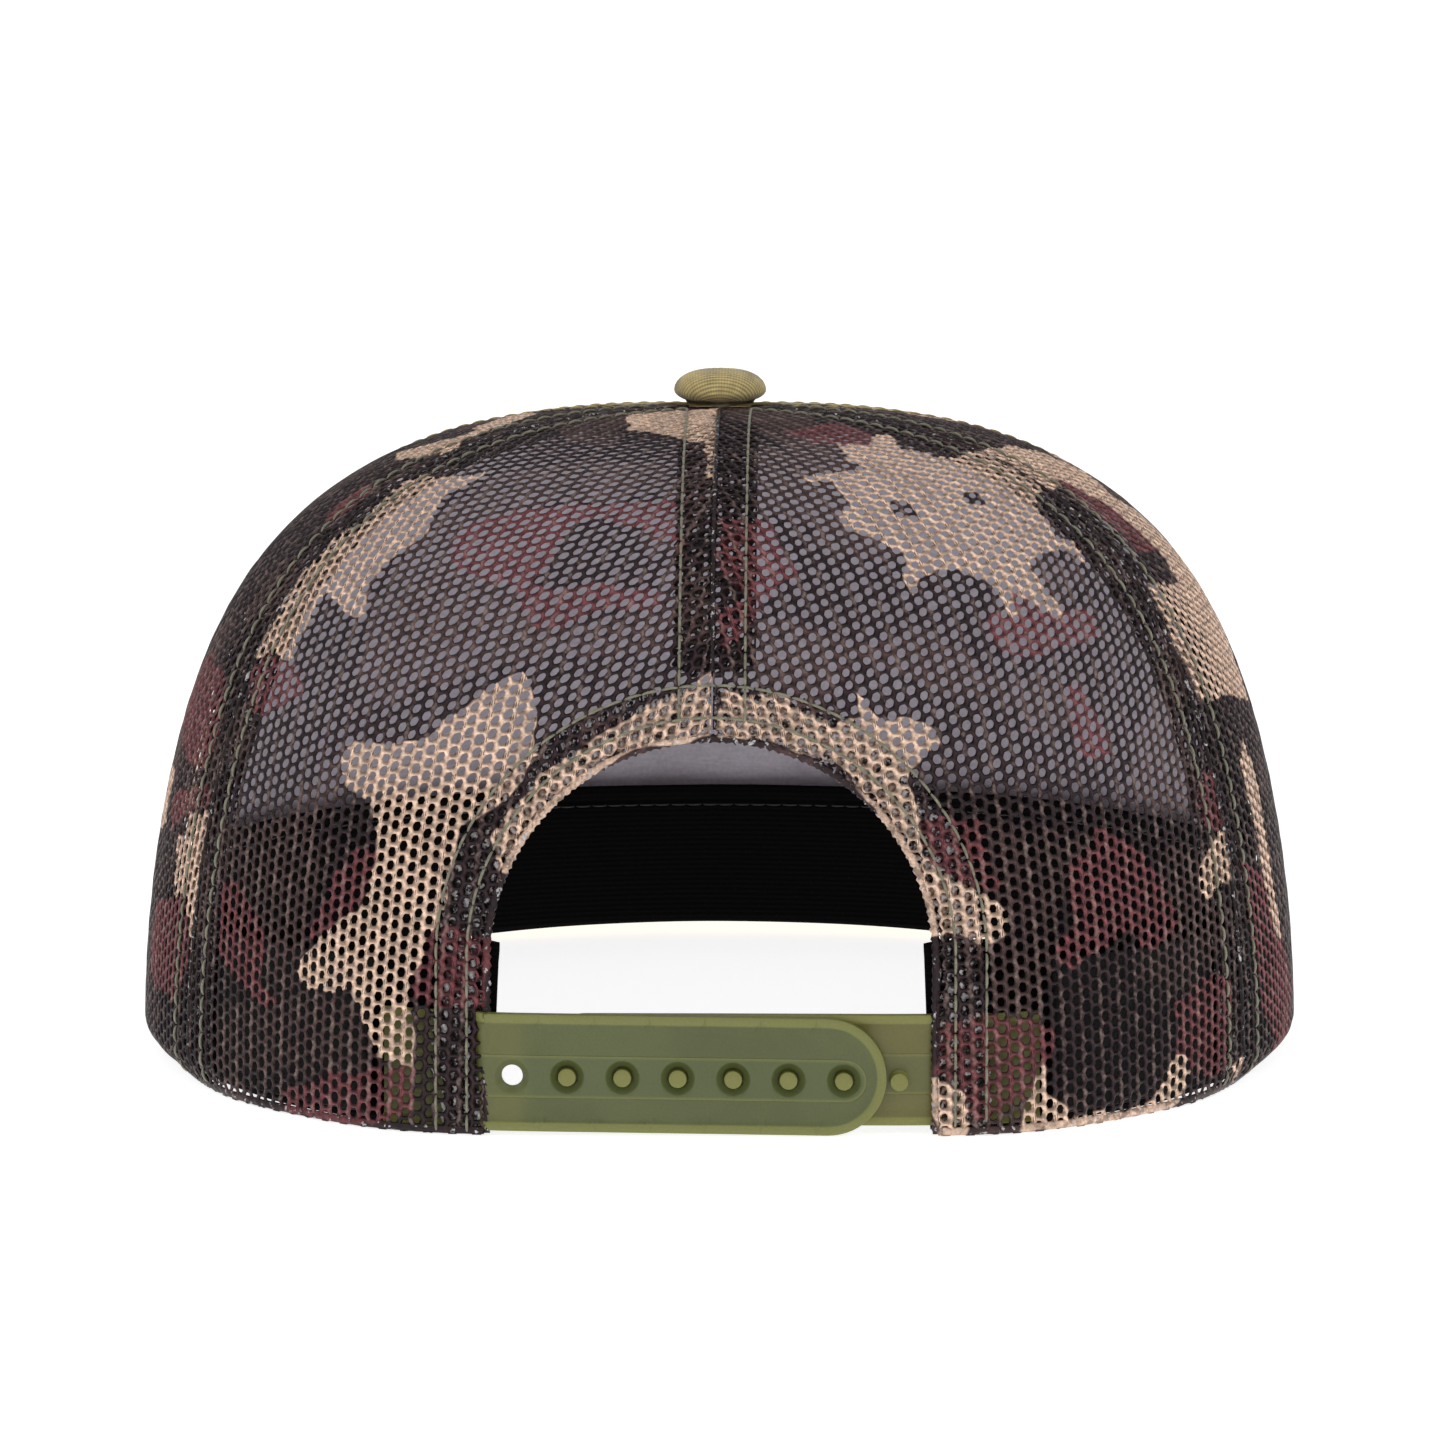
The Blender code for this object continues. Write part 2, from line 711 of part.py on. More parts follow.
def make_washer(material):
    bm = bmesh.new()
    segments = 24
    rings = []
    hole = POST_RADIUS + 0.0003
    for radius, height in (
        (hole, WASHER_TOP), (WASHER_RADIUS, WASHER_TOP),
        (WASHER_RADIUS, WASHER_TOP - WASHER_THICKNESS), (hole, WASHER_TOP - WASHER_THICKNESS),
    ):
        turn = [FULL_TURN * k / segments for k in range(segments)]
        rings.append([bm.verts.new((radius * math.cos(a), radius * math.sin(a), height)) for a in turn])
    for before, after in zip(rings, rings[1:] + rings[:1]):
        for k in range(segments):
            nxt = (k + 1) % segments
            bm.faces.new((before[k], before[nxt], after[nxt], after[k]))
    add_object("button_washer", bm, material)


def main():
    clear_scene()
    materials = make_materials()
    make_panels(materials)
    make_lining(materials)
    make_seams(materials)
    for side, name in ((-1, "left"), (1, "right")):
        make_hem("arch_hem_" + name, side, materials["seam_mesh"])
    make_sweatband(materials)
    make_snap_strap(materials)
    make_visor(materials)
    make_button(materials)


main()
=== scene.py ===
import math

import bmesh
import bpy
import numpy as np
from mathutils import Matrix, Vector


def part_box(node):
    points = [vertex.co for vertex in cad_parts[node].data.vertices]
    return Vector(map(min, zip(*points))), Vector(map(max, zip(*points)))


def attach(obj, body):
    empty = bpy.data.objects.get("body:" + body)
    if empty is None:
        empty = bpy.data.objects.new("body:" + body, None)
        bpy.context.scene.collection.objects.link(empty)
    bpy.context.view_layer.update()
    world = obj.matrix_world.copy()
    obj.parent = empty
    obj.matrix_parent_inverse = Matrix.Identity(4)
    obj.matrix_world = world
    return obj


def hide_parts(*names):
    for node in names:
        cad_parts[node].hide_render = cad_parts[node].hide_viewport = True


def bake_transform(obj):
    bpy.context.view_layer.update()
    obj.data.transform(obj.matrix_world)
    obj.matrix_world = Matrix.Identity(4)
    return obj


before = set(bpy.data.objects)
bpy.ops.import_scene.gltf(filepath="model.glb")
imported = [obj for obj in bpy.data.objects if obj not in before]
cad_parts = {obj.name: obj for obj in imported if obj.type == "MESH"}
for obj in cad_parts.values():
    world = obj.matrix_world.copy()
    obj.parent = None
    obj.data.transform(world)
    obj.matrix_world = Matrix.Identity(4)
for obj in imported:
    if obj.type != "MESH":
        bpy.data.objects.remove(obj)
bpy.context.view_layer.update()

MM = 0.001
FULL_TURN = 2 * math.pi

# ---------------------------------------------------------------- sizes, from the frame
SIDE_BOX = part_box("side_panel_right")
HOLE_STRAP_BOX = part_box("hole_strap")
PEG_STRAP_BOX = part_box("peg_strap")
BAND_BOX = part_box("sweatband")
PADDING_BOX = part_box("sweatband_padding")
BUTTON_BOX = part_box("button_cover")
VISOR_TOP_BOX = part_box("visor_top_cover")

# The crown's shape: a plan outline and a vertical profile, both superellipses
HALF_WIDTH = 98.6 * MM
BACK_LENGTH = 94.1 * MM
FRONT_LENGTH = 99.0 * MM
CROWN_HEIGHT = SIDE_BOX[1][2]
BACK_PLAN_POWER = 2.4
FRONT_PLAN_POWER = 2.1
RADIUS_POWER = 2.88
FRONT_RADIUS_POWER = 2.1
SIDE_HEIGHT_POWER = 2.8
BACK_HEIGHT_POWER = 2.7
FRONT_HEIGHT_POWER = 2.4
# The outline stands out at the back's lower corners
CORNER_BULGE = 4.4 * MM
CORNER_BEARING = math.radians(28)
CORNER_SPREAD = math.radians(13)
# Shares by which the crown is narrower halfway up, and along the lower edge of its sides
WAIST = 0.016
TUCK = 0.05
TUCK_HEIGHT = 6 * MM

SIDE_SEAM = math.radians(58)
FRONT_SEAM = math.radians(107)
SEAM_HALF = 7 * MM
STITCH_OFFSET = 5.2 * MM
CROWN_TOP_RADIUS = 5.5 * MM
SEAM_TOP_RADIUS = 9 * MM
ALLOWANCE_TOP_RADIUS = 1.1 * CROWN_TOP_RADIUS
GIRTH = 95                # millimetres of cloth to one radian of bearing, for ripples and lumps

ARCH_HALF = 35.5 * MM
ARCH_STRAIGHT = 28 * MM
ARCH_RISE = 34 * MM
HEM_WIDTH = 8.5 * MM
HEM_TOP = 70.4 * MM

# Depths below the crown's outer surface: top and bottom of each layer
PANEL_LAYER = (0.05 * MM, 0.55 * MM)
SECOND_LAYER = (0.95 * MM, 1.40 * MM)
LINING_LAYER = (1.10 * MM, 1.70 * MM)
BAND_LAYER = (3.9 * MM, 5.1 * MM)
PADDING_DEPTH = 2.7 * MM
BAND_SEAM_HEIGHT = 26 * MM
BAND_CORNER = 0.035       # bearing over which the band's ends are rounded

# Mesh cloth: pitch of the staggered holes
MESH_ACROSS = 1.95 * MM
MESH_ALONG = 2.10 * MM

# Half width and half length of the holes, in millimetres
PANEL_HOLE = (0.66, 0.72)
HEM_HOLE = (0.46, 0.56)
ALLOWANCE_HOLE = (0.34, 0.44)


# ---------------------------------------------------------------- crown geometry
def smooth_step(x):
    x = np.clip(x, 0.0, 1.0)
    return x * x * (3 - 2 * x)


def powers(bearing):
    """Superellipse powers of the profile's radius and height at a bearing."""
    facing = np.cos(bearing)
    share = facing * facing
    behind = facing > 0
    height_end = np.where(behind, BACK_HEIGHT_POWER, FRONT_HEIGHT_POWER)
    radius_end = np.where(behind, RADIUS_POWER, FRONT_RADIUS_POWER)
    radius_power = RADIUS_POWER + (radius_end - RADIUS_POWER) * share
    height_power = SIDE_HEIGHT_POWER + (height_end - SIDE_HEIGHT_POWER) * share
    return radius_power, height_power


def plan_radius(bearing, height):
    """Radius of the crown's outline at a share of the full height, before the profile narrows it."""
    bearing = (bearing + math.pi) % FULL_TURN - math.pi
    behind = np.cos(bearing) > 0
    length = np.where(behind, BACK_LENGTH, FRONT_LENGTH)
    power = np.where(behind, BACK_PLAN_POWER, FRONT_PLAN_POWER)
    across = np.abs(np.sin(bearing)) / HALF_WIDTH
    along = np.abs(np.cos(bearing)) / length
    radius = (across ** power + along ** power) ** (-1 / power)
    corner = (np.abs(bearing) - CORNER_BEARING) / CORNER_SPREAD
    radius = radius + CORNER_BULGE * np.exp(-corner * corner) * (1 - height)
    radius = radius * (1 - WAIST * np.sin(math.pi * height) ** 2)
    degrees = np.degrees(np.abs(bearing))
    at_side = smooth_step((degrees - 45) / 25) * (1 - smooth_step((degrees - 110) / 30))
    low = np.maximum(1 - height * CROWN_HEIGHT / TUCK_HEIGHT, 0.0)
    return radius * (1 - TUCK * at_side * low * low)


def outer_point(bearing, climb):
    """Point of the crown's outer surface; climb runs from 0 at the base to 1 at the top."""
    bearing, climb = np.broadcast_arrays(np.asarray(bearing, float), np.asarray(climb, float))
    radius_power, height_power = powers(bearing)
    angle = climb * math.pi / 2
    inward = np.maximum(np.cos(angle), 0.0) ** (2 / radius_power)
    height = np.maximum(np.sin(angle), 0.0) ** (2 / height_power)
    radius = plan_radius(bearing, height) * inward
    spot = (np.sin(bearing) * radius, -np.cos(bearing) * radius, CROWN_HEIGHT * height)
    return np.stack(spot, -1)


def crown_normal(bearing, climb):
    """Outward direction of the crown's surface."""
    step = 1e-3
    sideways = outer_point(bearing + step, climb) - outer_point(bearing - step, climb)
    lower = np.maximum(climb - step, 0.0)
    upward = outer_point(bearing, np.minimum(climb + step, 1.0)) - outer_point(bearing, lower)
    normal = np.cross(sideways, upward)
    flat = np.stack((sideways[..., 1], -sideways[..., 0], np.zeros_like(sideways[..., 0])), -1)
    normal = np.where((climb < 1e-6)[..., None], flat, normal)
    return normal / np.maximum(np.linalg.norm(normal, axis=-1, keepdims=True), 1e-12)


def crown(bearing, climb, depth=0.0):
    """Points at a depth below the crown's outer surface."""
    bearing, climb = np.broadcast_arrays(np.asarray(bearing, float), np.asarray(climb, float))
    depth = np.asarray(depth, float)
    return outer_point(bearing, climb) - crown_normal(bearing, climb) * depth[..., None]


def climb_at_height(bearing, height):
    share = np.clip(np.asarray(height, float) / CROWN_HEIGHT, 0.0, 1.0)
    return np.arcsin(share ** (powers(np.asarray(bearing, float))[1] / 2)) / (math.pi / 2)


def climb_at_radius(bearing, radius):
    share = radius / plan_radius(np.asarray(bearing, float), 1.0)
    return np.arccos(share ** (powers(np.asarray(bearing, float))[0] / 2)) / (math.pi / 2)


def bearing_at_x(x, height):
    """Bearing of the back of the crown at x and a height."""
    x, height = np.broadcast_arrays(np.asarray(x, float), np.asarray(height, float))
    bearing = np.arcsin(np.clip(x / BACK_LENGTH, -1, 1))
    for _ in range(12):
        spot = outer_point(bearing, climb_at_height(bearing, height))
        radius = np.hypot(spot[..., 0], spot[..., 1])
        bearing = np.arcsin(np.clip(x / radius, -1, 1))
    return bearing


def run_of(line):
    """Distance along a line at each of its points."""
    steps = np.linalg.norm(np.diff(line, axis=0), axis=1)
    return np.concatenate(([0.0], np.cumsum(steps)))


class Gore:
    """One sewn panel with cloth coordinates: across its centre line, and along it from the base.

    centre and half are degrees of bearing. fabric names the panel's print, which is drawn round
    print_centre; a seam's allowance has no fabric of its own.
    """

    def __init__(self, centre, half, fabric=None, print_centre=None):
        self.centre = math.radians(centre)
        self.half = math.radians(half)
        self.print_turn = 0.0 if print_centre is None else math.radians(centre - print_centre)
        self.fabric = fabric
        self.climbs = np.linspace(0, 1, 1200)
        line = outer_point(np.full_like(self.climbs, self.centre), self.climbs)
        self.along = run_of(line)
        self.radius = np.hypot(line[:, 0], line[:, 1])

    def radius_at(self, along):
        """Distance of the centre line from the crown's axis."""
        return np.interp(along, self.along, self.radius)

    def along_at_radius(self, radius):
        return np.interp(radius, self.radius[::-1], self.along[::-1])

    def along_at_climb(self, climb):
        return np.interp(climb, self.climbs, self.along)

    def place(self, across, along):
        """Bearing and climb of a cloth point."""
        climb = np.interp(along, self.along, self.climbs)
        return self.centre + across / np.maximum(self.radius_at(along), 1e-4), climb

    def cloth(self, bearing, climb):
        """Cloth coordinates of a bearing and climb."""
        along = self.along_at_climb(climb)
        return (bearing - self.centre) * self.radius_at(along), along

    def printed(self, across, along):
        """Signed distances to the printed colours: a seam's allowance continues its panels' print."""
        if self.fabric is None:
            bearing, climb = self.place(across, along)
            return print_at(bearing, climb)[0]
        turned = across + self.print_turn * self.radius_at(along)
        return camouflage(self.fabric, turned / MM, along / MM)


# ---------------------------------------------------------------- mesh helpers
def new_object(name, points, faces, material, smooth_angle=None):
    """Object from a point array and a list of faces or a quad index array."""
    mesh = bpy.data.meshes.new(name)
    if isinstance(faces, np.ndarray):
        mesh.vertices.add(len(points))
        mesh.vertices.foreach_set("co", np.asarray(points, np.float32).ravel())
        size = faces.shape[1]
        mesh.loops.add(faces.size)
        mesh.loops.foreach_set("vertex_index", faces.astype(np.int32).ravel())
        mesh.polygons.add(len(faces))
        starts = np.arange(0, faces.size, size, dtype=np.int32)
        mesh.polygons.foreach_set("loop_start", starts)
        mesh.polygons.foreach_set("loop_total", np.full(len(faces), size, np.int32))
        mesh.update(calc_edges=True)
    else:
        mesh.from_pydata([tuple(p) for p in points], [], faces)
    mesh.validate()
    mesh.materials.append(material)
    mesh.shade_smooth()
    if smooth_angle is not None:
        mesh.set_sharp_from_angle(angle=math.radians(smooth_angle))
    made = bpy.data.objects.new(name, mesh)
    bpy.context.scene.collection.objects.link(made)
    return made


def add_attribute(made, name, values):
    kind = "FLOAT" if np.ndim(values) == 1 else "FLOAT_VECTOR"
    layer = made.data.attributes.new(name, kind, "POINT")
    key = "value" if kind == "FLOAT" else "vector"
    layer.data.foreach_set(key, np.asarray(values, np.float32).ravel())


def quads(index):
    """Quads between the neighbours in a grid of point numbers."""
    corners = (index[:-1, :-1], index[:-1, 1:], index[1:, 1:], index[1:, :-1])
    return np.stack(corners, -1).reshape(-1, 4)


def closed(index):
    """Grid of point numbers whose rows run back to their first point."""
    return np.concatenate((index, index[:, :1]), 1)


def slab_faces(rows, columns):
    """Quads of a closed slab: an outer grid, then an inner grid of the same size."""
    outer = np.arange(rows * columns).reshape(rows, columns)
    inner = outer + rows * columns
    return np.concatenate((
        quads(outer),
        quads(inner.T),
        quads(np.stack((outer[0], inner[0]), 1)),
        quads(np.stack((outer[-1], inner[-1]))),
        quads(np.stack((outer[:, 0], inner[:, 0]))),
        quads(np.stack((outer[:, -1], inner[:, -1]), 1)),
    ))


def tube_faces(stations, around, base=0):
    """Faces of a tube of rings with both ends closed."""
    index = base + np.arange(stations * around).reshape(stations, around)
    return quads(closed(index)).tolist() + [index[0, ::-1].tolist(), index[-1].tolist()]


def slab(name, outer, inner, material, smooth_angle=50):
    rows, columns = outer.shape[:2]
    points = np.concatenate((outer.reshape(-1, 3), inner.reshape(-1, 3)))
    return new_object(name, points, slab_faces(rows, columns), material, smooth_angle)


def sweep(name, rings, material):
    """Skin a row of rings of points. rings has the shape stations, points round, 3."""
    made = new_object(name, rings.reshape(-1, 3), tube_faces(*rings.shape[:2]), material)
    face_out(made)
    return made


def face_out(made):
    """Turn the faces of a closed piece outwards."""
    bm = bmesh.new()
    bm.from_mesh(made.data)
    bmesh.ops.recalc_face_normals(bm, faces=bm.faces)
    bm.to_mesh(made.data)
    bm.free()


def settle(made, slot, *nodes):
    """Fix a piece to the crown, in place of any CAD nodes; slot is not used."""
    if nodes:
        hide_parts(*nodes)
    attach(made, "crown")


# ---------------------------------------------------------------- camouflage print
# Outlines of the printed patches, in cloth millimetres: across and along each panel
TAN_SHAPES = {
    "back_left": (
        ((13, 74), (18, 60), (14, 54), (7, 48), (6, 46), (6, 34), (3, 30), (2, 24), (2, 10), (-3, 12),
         (-9, 22), (-13, 22), (-17, 20), (-20, 22), (-19, 26), (-9, 34), (-6, 42), (-9, 50), (-15, 54),
         (-16, 58), (-15, 60), (-1, 62), (7, 71)),
        ((-12, 117), (-20, 114), (-26, 114), (-29, 111), (-30, 104), (-39, 88), (-45, 72), (-38, 74),
         (-33, 72), (-34, 75), (-30, 86), (-19, 82), (-21, 90), (-14, 100), (-17, 109)),
        ((-4, 149), (-6, 156), (4, 166), (30, 114), (23, 125), (20, 132), (3, 140)),
        ((45, 76), (22, 60), (13, 48), (14, 42), (17, 42), (26, 56), (34, 62), (47, 64)),
    ),
    "back_right": (
        ((7, 134), (5, 130), (-1, 130), (-2, 123), (0, 120), (-12, 118), (-13, 116), (-8, 116),
         (-8, 112), (-12, 104), (-5, 97), (-7, 92), (-7, 89), (-1, 94), (3, 94), (7, 90), (9, 83),
         (10, 84), (11, 89), (17, 82), (19, 84), (16, 92), (17, 94), (25, 96), (29, 92), (25, 99),
         (25, 103), (27, 108), (31, 110), (27, 123), (21, 122), (13, 123), (9, 127), (11, 134)),
        ((-43, 72), (-34, 70), (-25, 66), (-10, 66), (-9, 63), (-14, 59), (-15, 56), (-14, 47),
         (-13, 43), (-3, 36), (-2, 34), (-3, 31), (-14, 32), (-17, 44), (-24, 58), (-38, 64),
         (-45, 64)),
        ((-20, 71), (-18, 66), (-20, 66), (-21, 68)),
        ((2, 10), (7, 2), (19, 1), (24, 1), (32, 8), (35, 6), (34, 3), (30, 0), (-1, 0), (-1, 2)),
        ((-15, 9), (-10, 6), (-10, 2), (-12, 0), (-15, 0)),
        ((48, 42), (51, 40), (50, 34), (42, 32), (40, 34), (41, 37), (44, 40)),
        ((52, 6), (60, 0), (54, 0), (48, 4)),
    ),
    "side_left": (
        ((39, 42), (44, 44), (43, 46), (50, 48), (50, 52), (53, 44), (52, 39), (53, 34), (55, 24),
         (53, 24), (48, 33), (42, 32)),
        ((13, 50), (25, 51), (24, 44), (26, 42), (18, 40), (15, 43)),
        ((7, 118), (14, 128), (11, 132), (7, 132), (-10, 140), (0, 143), (9, 138), (26, 122),
         (24, 125), (25, 123), (22, 120), (16, 118)),
    ),
    "side_right": (
        ((-13, 124), (-6, 120), (1, 110), (-11, 104), (0, 98), (1, 91), (0, 80), (-10, 72), (-16, 62),
         (-35, 67), (-46, 66), (-45, 76), (-40, 87), (-26, 86), (-22, 90), (-21, 97), (-23, 113),
         (-33, 110), (-33, 111), (-25, 124)),
        ((-32, 58), (-31, 52), (-33, 34), (-31, 24), (-34, 24), (-38, 34), (-37, 54)),
    ),
}
BURGUNDY_SHAPES = {
    "back_left": (
        ((-8, 96), (-9, 100), (-3, 107), (16, 110), (23, 110), (28, 104), (31, 99), (30, 97),
         (27, 100), (19, 104), (12, 104), (10, 104), (10, 96), (9, 90), (29, 90), (33, 88), (31, 86),
         (21, 86), (16, 82), (12, 82), (5, 90), (-5, 92)),
        ((-44, 72), (-38, 73), (-28, 70), (-28, 68), (-32, 66), (-36, 64), (-37, 62), (-42, 64),
         (-45, 68)),
        ((-15, 40), (-10, 44), (-7, 44), (-6, 42), (-11, 32), (-19, 28)),
        ((-43, 35), (-38, 35), (-30, 30), (-30, 20), (-25, 18), (-27, 16), (-34, 18), (-42, 22)),
        ((6, 34), (15, 31), (14, 20), (10, 20), (3, 20), (2, 28)),
        ((-24, 4), (-4, 10), (3, 10), (4, 4), (-4, 0), (-24, 0)),
    ),
    "back_right": (
        ((-33, 104), (-27, 106), (-24, 104), (-25, 92), (-31, 88), (-34, 88), (-37, 92)),
        ((-40, 86), (-32, 88), (-32, 86), (-35, 83), (-42, 78)),
        ((-6, 140), (7, 145), (8, 140), (7, 134), (5, 130), (-1, 130), (-5, 133)),
        ((4, 83), (7, 84), (9, 84), (12, 90), (18, 84), (24, 84), (26, 82), (25, 78), (9, 76), (6, 77),
         (4, 80)),
        ((16, 71), (19, 70), (22, 59), (21, 57), (17, 57), (16, 60), (14, 67)),
        ((-15, 50), (-4, 50), (-4, 42), (-2, 40), (-2, 38), (-9, 40), (-13, 44)),
        ((15, 46), (19, 47), (23, 44), (31, 36), (34, 29), (33, 27), (25, 26), (24, 28), (20, 30),
         (11, 26), (6, 26), (6, 28), (11, 33), (10, 36), (10, 40), (15, 44)),
        ((37, 19), (44, 20), (48, 18), (48, 13), (46, 9), (47, 4), (43, 3), (38, 4), (32, 8), (32, 16)),
        ((45, 53), (51, 52), (52, 47), (51, 42), (47, 42), (43, 44), (42, 48)),
        ((-14, 18), (-2, 19), (5, 16), (4, 12), (1, 6), (-7, 2), (-10, 3), (-10, 6), (-15, 10)),
    ),
    "side_left": (
        ((11, 60), (28, 66), (42, 68), (46, 57), (43, 54), (34, 54), (22, 56)),
        ((27, 47), (48, 52), (50, 50), (33, 42)),
        ((28, 28), (41, 32), (49, 32), (52, 22), (48, 16), (35, 15), (28, 17)),
        ((9, 68), (25, 72), (41, 69), (42, 60), (12, 56), (13, 60)),
        ((24, 107), (23, 110), (31, 110), (33, 103), (33, 100), (29, 101)),
    ),
    "side_right": (
        ((-23, 113), (-21, 97), (-24, 92), (-31, 93), (-32, 102), (-30, 108)),
        ((-47, 39), (-41, 38), (-21, 13), (-26, 6), (-36, 4), (-43, 12), (-47, 20), (-48, 30)),
    ),
}
BROWN_SHAPES = {
    "back_left": (
        ((-47, 43), (-21, 48), (-18, 44), (-20, 21), (-25, 20), (-29, 22), (-30, 30), (-38, 36),
         (-43, 36)),
        ((-43, 14), (-21, 20), (-9, 20), (-4, 12), (-6, 9), (-43, 4)),
        ((-20, 86), (-6, 89), (4, 90), (10, 84), (16, 82), (23, 85), (33, 86), (34, 78), (22, 77),
         (15, 78), (0, 71), (-12, 72)),
        ((-16, 100), (-9, 118), (0, 122), (16, 124), (22, 114), (16, 110), (4, 110)),
    ),
    "back_right": (
        ((-4, 50), (14, 46), (15, 44), (10, 40), (3, 18), (-5, 20), (-6, 28), (-2, 34), (-4, 45)),
        ((-35, 84), (-26, 84), (-21, 82), (-21, 77), (-22, 73), (-27, 69), (-34, 71), (-37, 74)),
        ((31, 42), (40, 41), (41, 34), (45, 30), (44, 22), (37, 19), (32, 19), (23, 21), (25, 26),
         (33, 27), (30, 38)),
        ((-15, 130), (-6, 131), (-3, 122), (-14, 116), (-9, 114), (-14, 103), (-20, 104), (-25, 108)),
    ),
    "side_left": (),
    "side_right": (),
}
DARK_SHAPES = {
    "back_left": (),
    "back_right": (
        ((-3, 106), (1, 105), (1, 109), (-2, 110)),
        ((11, 108), (15, 107), (15, 111), (12, 111)),
    ),
    "side_left": (),
    "side_right": (),
}
# Side of each side panel's middle that has drawn patches; the other side has patches of noise
SEEN_SIDE = {"back_left": 0, "back_right": 0, "side_left": 1, "side_right": -1}


def wobble(across, along, scale, seed):
    """Smooth noise in two directions, from a few sines of fixed random directions."""
    source = np.random.default_rng(seed)
    total = np.zeros_like(across)
    for _ in range(7):
        angle = source.uniform(0, FULL_TURN)
        rate = FULL_TURN / scale * source.uniform(0.6, 1.6)
        phase = source.uniform(0, FULL_TURN)
        turned = across * math.cos(angle) + along * math.sin(angle)
        total += np.sin(turned * rate + phase + 0.7 * np.sin(along * rate * 0.6 + phase * 2))
    return total / 3.2


def outline_distance(outlines, across, along):
    """Signed distance in millimetres to the nearest outline, negative inside."""
    total = np.full(across.shape, 60.0)
    for outline in outlines:
        nearest = np.full(across.shape, 60.0)
        inside = np.zeros(across.shape, bool)
        for (x1, y1), (x2, y2) in zip(outline, outline[1:] + outline[:1]):
            dx, dy = x2 - x1, y2 - y1
            share = np.clip(((across - x1) * dx + (along - y1) * dy) / (dx * dx + dy * dy), 0, 1)
            gap = np.hypot(across - x1 - share * dx, along - y1 - share * dy)
            nearest = np.minimum(nearest, gap)
            if dy:
                crosses = (y1 > along) != (y2 > along)
                inside ^= crosses & (across < x1 + (along - y1) * dx / dy)
        total = np.minimum(total, np.where(inside, -nearest, nearest))
    return total


def patches(outlines, fabric, across, along, seed, share):
    """Distance to the drawn patches, or on the far half of a side panel to patches of noise."""
    drawn = outline_distance(outlines[fabric], across, along)
    if not SEEN_SIDE[fabric]:
        return drawn
    hidden = -SEEN_SIDE[fabric] * across
    ragged = 6.0 * (share - wobble(across, along, 30, seed) - 0.3 * wobble(across, along, 9, seed + 1))
    return np.minimum(drawn, ragged + np.maximum(8.0 - hidden, 0.0))


def camouflage(fabric, across, along):
    """Signed distances to the edge of each printed colour, from cloth millimetres."""
    warped_a = across + 0.7 * wobble(across, along, 12, 2) + 0.25 * wobble(across, along, 4, 3)
    warped_b = along + 0.7 * wobble(across, along, 12, 4) + 0.25 * wobble(across, along, 4, 5)
    seed = 40 + 7 * list(TAN_SHAPES).index(fabric)
    brown = outline_distance(BROWN_SHAPES[fabric], warped_a, warped_b)
    clouds = 5.0 * (0.45 - wobble(warped_a, warped_b * 0.8, 36, seed + 4))
    return {
        "tan": patches(TAN_SHAPES, fabric, warped_a, warped_b, seed, 0.62) - 0.3,
        "burgundy": patches(BURGUNDY_SHAPES, fabric, warped_a, warped_b, seed + 2, 0.35),
        "brown": np.minimum(brown, clouds),
        "dark": outline_distance(DARK_SHAPES[fabric], across, along),
    }


def store_print(made, distances, cloth):
    """Store the print as distances to the edge of each colour, with the cloth coordinates."""
    for name, distance in distances.items():
        add_attribute(made, name, distance)
    add_attribute(made, "cloth", cloth)


# ---------------------------------------------------------------- the mesh cloth
GORES = {
    "back_left": Gore(-29, 29, "back_left"),
    "back_right": Gore(29, 29, "back_right"),
    "side_left": Gore(-82.5, 24.5, "side_left", -89),
    "side_right": Gore(82.5, 24.5, "side_right", 89),
}
FRONT_GORE = Gore(180, 73)


def print_at(bearing, climb):
    """Signed distances to the printed colours of the panel that lies there, and cloth coordinates."""
    stored = {}
    cloth = np.zeros((len(bearing), 3))
    for gore in GORES.values():
        owned = np.abs(bearing - gore.centre) <= gore.half + 1e-6
        across, along = gore.cloth(bearing[owned], climb[owned])
        cloth[owned, 0], cloth[owned, 1] = across / MM, along / MM
        for name, distance in gore.printed(across, along).items():
            stored.setdefault(name, np.zeros(len(bearing)))[owned] = distance
    return stored, cloth


def print_by_place(made, spots):
    """Print points with the panel that they lie on, so a line or fold continues its colours."""
    spots = spots.reshape(-1, 3)
    bearing = np.arctan2(spots[:, 0], -spots[:, 1])
    store_print(made, *print_at(bearing, climb_at_height(bearing, np.maximum(spots[:, 2], 0))))


def inside_arch(x, z, margin):
    """True where a back point lies in the arch widened by margin."""
    low = (z <= ARCH_STRAIGHT) & (np.abs(x) < ARCH_HALF + margin)
    round_part = np.hypot(x / (ARCH_HALF + margin), (z - ARCH_STRAIGHT) / (ARCH_RISE + margin))
    return low | ((z > ARCH_STRAIGHT) & (round_part < 1))


def push_out_of_arch(bearing, climb, margin):
    """Move points that fall in the arch to its edge."""
    spot = outer_point(bearing, climb)
    x, z = spot[..., 0], spot[..., 2]
    within = inside_arch(x, z, margin)
    low = within & (z <= ARCH_STRAIGHT)
    high = within & (z > ARCH_STRAIGHT)
    side = np.where(x >= 0, 1.0, -1.0)
    rise = (z - ARCH_STRAIGHT) / (ARCH_RISE + margin)
    reach = np.maximum(np.hypot(x / (ARCH_HALF + margin), rise), 0.05)
    new_x = np.where(low, side * (ARCH_HALF + margin), np.where(high, x / reach, x))
    new_z = np.where(high, ARCH_STRAIGHT + (z - ARCH_STRAIGHT) / reach, z)
    new_bearing = bearing_at_x(new_x, new_z)
    bearing = np.where(within, new_bearing, bearing)
    climb = np.where(within, climb_at_height(bearing, new_z), climb)
    return bearing, climb


